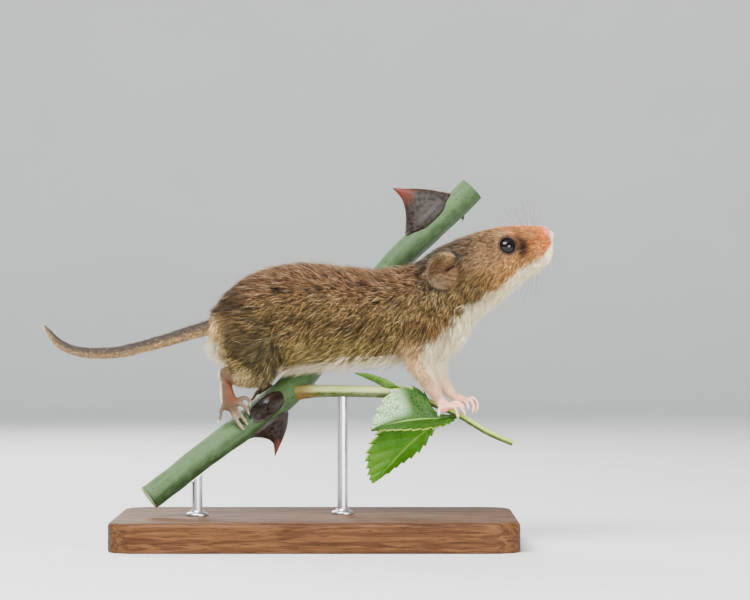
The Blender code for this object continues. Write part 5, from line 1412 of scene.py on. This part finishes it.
# claws
claw = {"size": 0.9, "rings": 12, "squash": 0.8, "sides": 10}
bm = bmesh.new()
for name, paths in toes.items():
    for path in paths:
        rings = digitRings(path, clawShape, digitSize[name[:4]] * claw["size"], claw["rings"], claw["squash"])
        ringsToBm(bm, rings, claw["sides"])
clawMaterial = mottledMaterial("claw_horn", 0.3, (0.86, 0.76, 0.66), (0.66, 0.50, 0.40), 0.3, 0.7,
                               Roughness=0.35, Subsurface_Weight=0.2, Subsurface_Scale=0.0003)
claws = pieceFrom("claws", meshFromBm("claws", bm))
claws.data.materials.append(clawMaterial)
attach(claws, "root")

# whiskers: where each one's tip is, x, z and out from the middle; their roots spread round a point on the muzzle
whiskers = {
    "tips": [(33.6, 62.0, 9.5), (35.9, 61.3, 11.0), (37.0, 58.8, 12.5), (38.4, 57.3, 9.0), (29.9, 59.6, 13.0),
             (27.6, 57.6, 15.0), (31.4, 61.0, 6.5), (31.8, 37.6, 9.5), (36.4, 40.2, 11.0), (37.4, 40.9, 8.0),
             (39.3, 43.7, 11.5), (40.9, 46.9, 9.5), (41.6, 51.0, 8.0), (34.0, 38.6, 13.0), (29.2, 41.5, 15.0),
             (26.6, 46.0, 16.0), (27.0, 52.5, 16.5), (39.8, 55.0, 11.0)],
    "root": (36.9, 50.7), "spread": (1.5, 1.3), "thick": 0.036, "sag": 1.3, "seed": 5, "rings": 16, "sides": 5,
}
rng = np.random.default_rng(whiskers["seed"])
bm = bmesh.new()
for side in sides.values():
    for tipX, tipZ, out in whiskers["tips"]:
        way = math.atan2(tipZ - whiskers["root"][1], tipX - whiskers["root"][0])
        x = whiskers["root"][0] + whiskers["spread"][0] * (math.cos(way) + rng.uniform(-0.35, 0.35))
        z = whiskers["root"][1] + whiskers["spread"][1] * (0.7 * math.sin(way) + rng.uniform(-0.35, 0.35))
        x = min(x, 38.3)
        root = Vector((x, side * (coatY(x, z) - 0.15), z))
        tip = Vector((tipX + rng.uniform(-0.4, 0.4), side * out, tipZ + rng.uniform(-0.4, 0.4)))
        bow = Vector((0.5, side * 0.6, 0.25)) * whiskers["sag"]
        points = [root.lerp(tip, t / 6) + bow * (4 * (t / 6) * (1 - t / 6)) for t in range(7)]
        table = [(*point, max(whiskers["thick"] * (1 - t / 6.3), 0.008)) for t, point in enumerate(points)]
        ringsToBm(bm, lineRings(table, whiskers["rings"], sideWay=Vector((0.2, 0.1, 1))), whiskers["sides"])
whiskerMaterial = mottledMaterial("whisker_hair", 4.0, (0.025, 0.018, 0.015), (0.22, 0.18, 0.15), 0.4, 0.6,
                                  Roughness=0.3)
whiskerPiece = pieceFrom("whiskers", meshFromBm("whiskers", bm))
whiskerPiece.data.materials.append(whiskerMaterial)
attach(whiskerPiece, "root")
stage("eyes, claws and whiskers made")

# stand: wood and brushed steel; the rods keep their solids
baseMaterial, tree, shader = newMaterial("base_walnut", Specular_IOR_Level=0.12)
place = objectPlace(tree)
rings = textureNode(tree, "Noise", stretched(tree, place, 0.12, 1.0, 1.6), Scale=420.0, Detail=3.0, Distortion=0.6)
banded = mathNode(tree, "PINGPONG", times(tree, rings.outputs["Fac"], 9.0), 1.0)
fibre = textureNode(tree, "Noise", stretched(tree, place, 0.03, 1.0, 1.0), Scale=2600.0, Detail=4.0, Roughness=0.7)
grain = mathNode(tree, "MULTIPLY_ADD", rangeNode(tree, fibre.outputs["Fac"], 0.3, 0.7), 0.45,
                 times(tree, rangeNode(tree, banded, 0.15, 0.95), 0.55))
pores = textureNode(tree, "Noise", stretched(tree, place, 0.06, 1.0, 1.0), Scale=5200.0, Detail=2.0)
pore = rangeNode(tree, pores.outputs["Fac"], 0.58, 0.68)
body = mixColour(tree, "MIX", grain, (0.045, 0.016, 0.006), (0.135, 0.056, 0.020))
feed(tree, shader, Base_Color=mixColour(tree, "MIX", times(tree, pore, 0.7), body, (0.012, 0.005, 0.002)),
     Roughness=rangeNode(tree, grain, 0.0, 1.0, 0.62, 0.5), Normal=bumpNode(tree, pore, -0.4, 0.05))
steelMaterial, tree, shader = newMaterial("rod_steel", Metallic=1.0)
brush = textureNode(tree, "Noise", stretched(tree, objectPlace(tree), 1.0, 1.0, 0.05), Scale=9000.0, Detail=2.0)
brushed = brush.outputs["Fac"]
feed(tree, shader, Base_Color=mixColour(tree, "MIX", brushed, (0.50, 0.50, 0.52), (0.66, 0.66, 0.67)),
     Roughness=rangeNode(tree, brushed, 0.3, 0.7, 0.24, 0.4))
rods = ("stand_rod_rear", "stand_rod_front")
for name in rods:
    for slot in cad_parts[name].material_slots:
        slot.material = steelMaterial


def bevelEdges(bm, edges, offset, segments):
    bmesh.ops.bevel(bm, geom=edges, offset=offset, affect="EDGES", segments=segments, profile=0.5, material=-1)


# the base again, with rounder corners and softened edges
board = {"corner": 5.0, "cornerSteps": 14, "edge": 0.8, "edgeSteps": 4, "foot": 0.3}
low, high = (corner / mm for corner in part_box("stand_base"))
bm = bmesh.new()
bmesh.ops.create_cube(bm, size=1.0)
bmesh.ops.scale(bm, verts=bm.verts, vec=high - low)
bmesh.ops.translate(bm, verts=bm.verts, vec=(low + high) / 2)
upright = [edge for edge in bm.edges if abs(edge.verts[0].co.z - edge.verts[1].co.z) > 1]
bevelEdges(bm, upright, board["corner"], board["cornerSteps"])
for level, offset in ((high.z, board["edge"]), (low.z, board["foot"])):
    outline = [edge for edge in bm.edges if all(abs(vert.co.z - level) < 0.01 for vert in edge.verts)]
    bevelEdges(bm, outline, offset, board["edgeSteps"])
bmesh.ops.recalc_face_normals(bm, faces=bm.faces)
boardPiece = pieceFrom("display_base", meshFromBm("display_base", bm))
boardPiece.modifiers.new("even normals", "WEIGHTED_NORMAL")
boardPiece.data.materials.append(baseMaterial)
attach(boardPiece, "root")
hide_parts("stand_base")

# a small turned collar where each rod stands in the base: profile out from the rod, and up
collar = {"profile": [(0.02, 0.0), (1.05, 0.0), (1.05, 0.35), (0.8, 0.62), (0.35, 0.7), (0.28, 0.95), (0.02, 0.95)],
          "steps": 48, "edge": 0.06}
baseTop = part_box("stand_base")[1].z / mm
bm = bmesh.new()
for name in rods:
    low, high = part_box(name)
    middle, radius = (low + high) / (2 * mm), (high.x - low.x) / (2 * mm)
    profile = [bm.verts.new((middle.x + radius + out, middle.y, baseTop + up)) for out, up in collar["profile"]]
    edges = [bm.edges.new(pair) for pair in zip(profile, profile[1:] + profile[:1])]
    bmesh.ops.spin(bm, geom=profile + edges, axis=(0, 0, 1), cent=(middle.x, middle.y, 0), angle=2 * math.pi,
                   steps=collar["steps"], use_merge=True)
bmesh.ops.recalc_face_normals(bm, faces=bm.faces)
sharp = [edge for edge in bm.edges if edge.is_manifold and edge.calc_face_angle() > 0.5]
bevelEdges(bm, sharp, collar["edge"], 2)
collars = pieceFrom("rod_collars", meshFromBm("rod_collars", bm))
collars.data.materials.append(steelMaterial)
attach(collars, "root")
stage("stand finished")

# floor, a pale sweep, and soft studio light
studio = {
    "floor": (0.76, 0.76, 0.74), "half": 900.0, "front": -900.0, "back": 600.0, "bend": 300.0,
    "world": 0.42, "worldTone": (0.9, 0.95, 1.0, 1.0), "aim": (0, 0, 40),
    "lights": {  # place, width and height, power, colour
        "key": ((-150, -300, 420), (380, 260), 8.0, (0.96, 0.98, 1.0)),
        "fill": ((320, -420, 90), (300, 200), 4.0, (1.0, 0.98, 0.95)),
        "rim": ((-160, 340, 260), (240, 200), 2.2, (1.0, 0.98, 0.94)),
        "sky": ((40, -200, 620), (700, 420), 1.4, (0.78, 0.88, 1.0)),
    },
}


def drawOut(bm, edges, way):
    made = bmesh.ops.extrude_edge_only(bm, edges=edges)["geom"]
    bmesh.ops.translate(bm, verts=[v for v in made if isinstance(v, bmesh.types.BMVert)], vec=way)


bm = bmesh.new()
corners = [bm.verts.new((x, studio["back"], 0.0)) for x in (-studio["half"], studio["half"])]
edge = bm.edges.new(corners)
drawOut(bm, [edge], (0, studio["front"] - studio["back"], 0))
bmesh.ops.spin(bm, geom=[edge, *corners], axis=(1, 0, 0), cent=(0, studio["back"], studio["bend"]), angle=math.pi / 2,
               steps=16)
wall = studio["back"] + studio["bend"] - 1
drawOut(bm, [e for e in bm.edges if e.is_boundary and min(v.co.y for v in e.verts) > wall], (0, 0, 900))
floor = pieceFrom("floor", meshFromBm("floor", bm))
floor.data.materials.append(mottledMaterial("floor", 60.0, studio["floor"], tuple(c * 0.97 for c in studio["floor"]),
                                            0.3, 0.7, Roughness=0.8))
world = bpy.data.worlds.new("studio")
world.use_nodes = True
world.node_tree.nodes["Background"].inputs["Color"].default_value = studio["worldTone"]
world.node_tree.nodes["Background"].inputs["Strength"].default_value = studio["world"]
bpy.context.scene.world = world
for name, (place, size, power, colour) in studio["lights"].items():
    light = bpy.data.lights.new(name, "AREA")
    light.shape, light.size, light.size_y = "RECTANGLE", size[0] * mm, size[1] * mm
    light.energy, light.color = power, colour
    lamp = bpy.data.objects.new(name, light)
    lamp.location = Vector(place) * mm
    lamp.rotation_euler = (Vector(studio["aim"]) - Vector(place)).to_track_quat("-Z", "Y").to_euler()
    bpy.context.scene.collection.objects.link(lamp)
stage("studio lit")
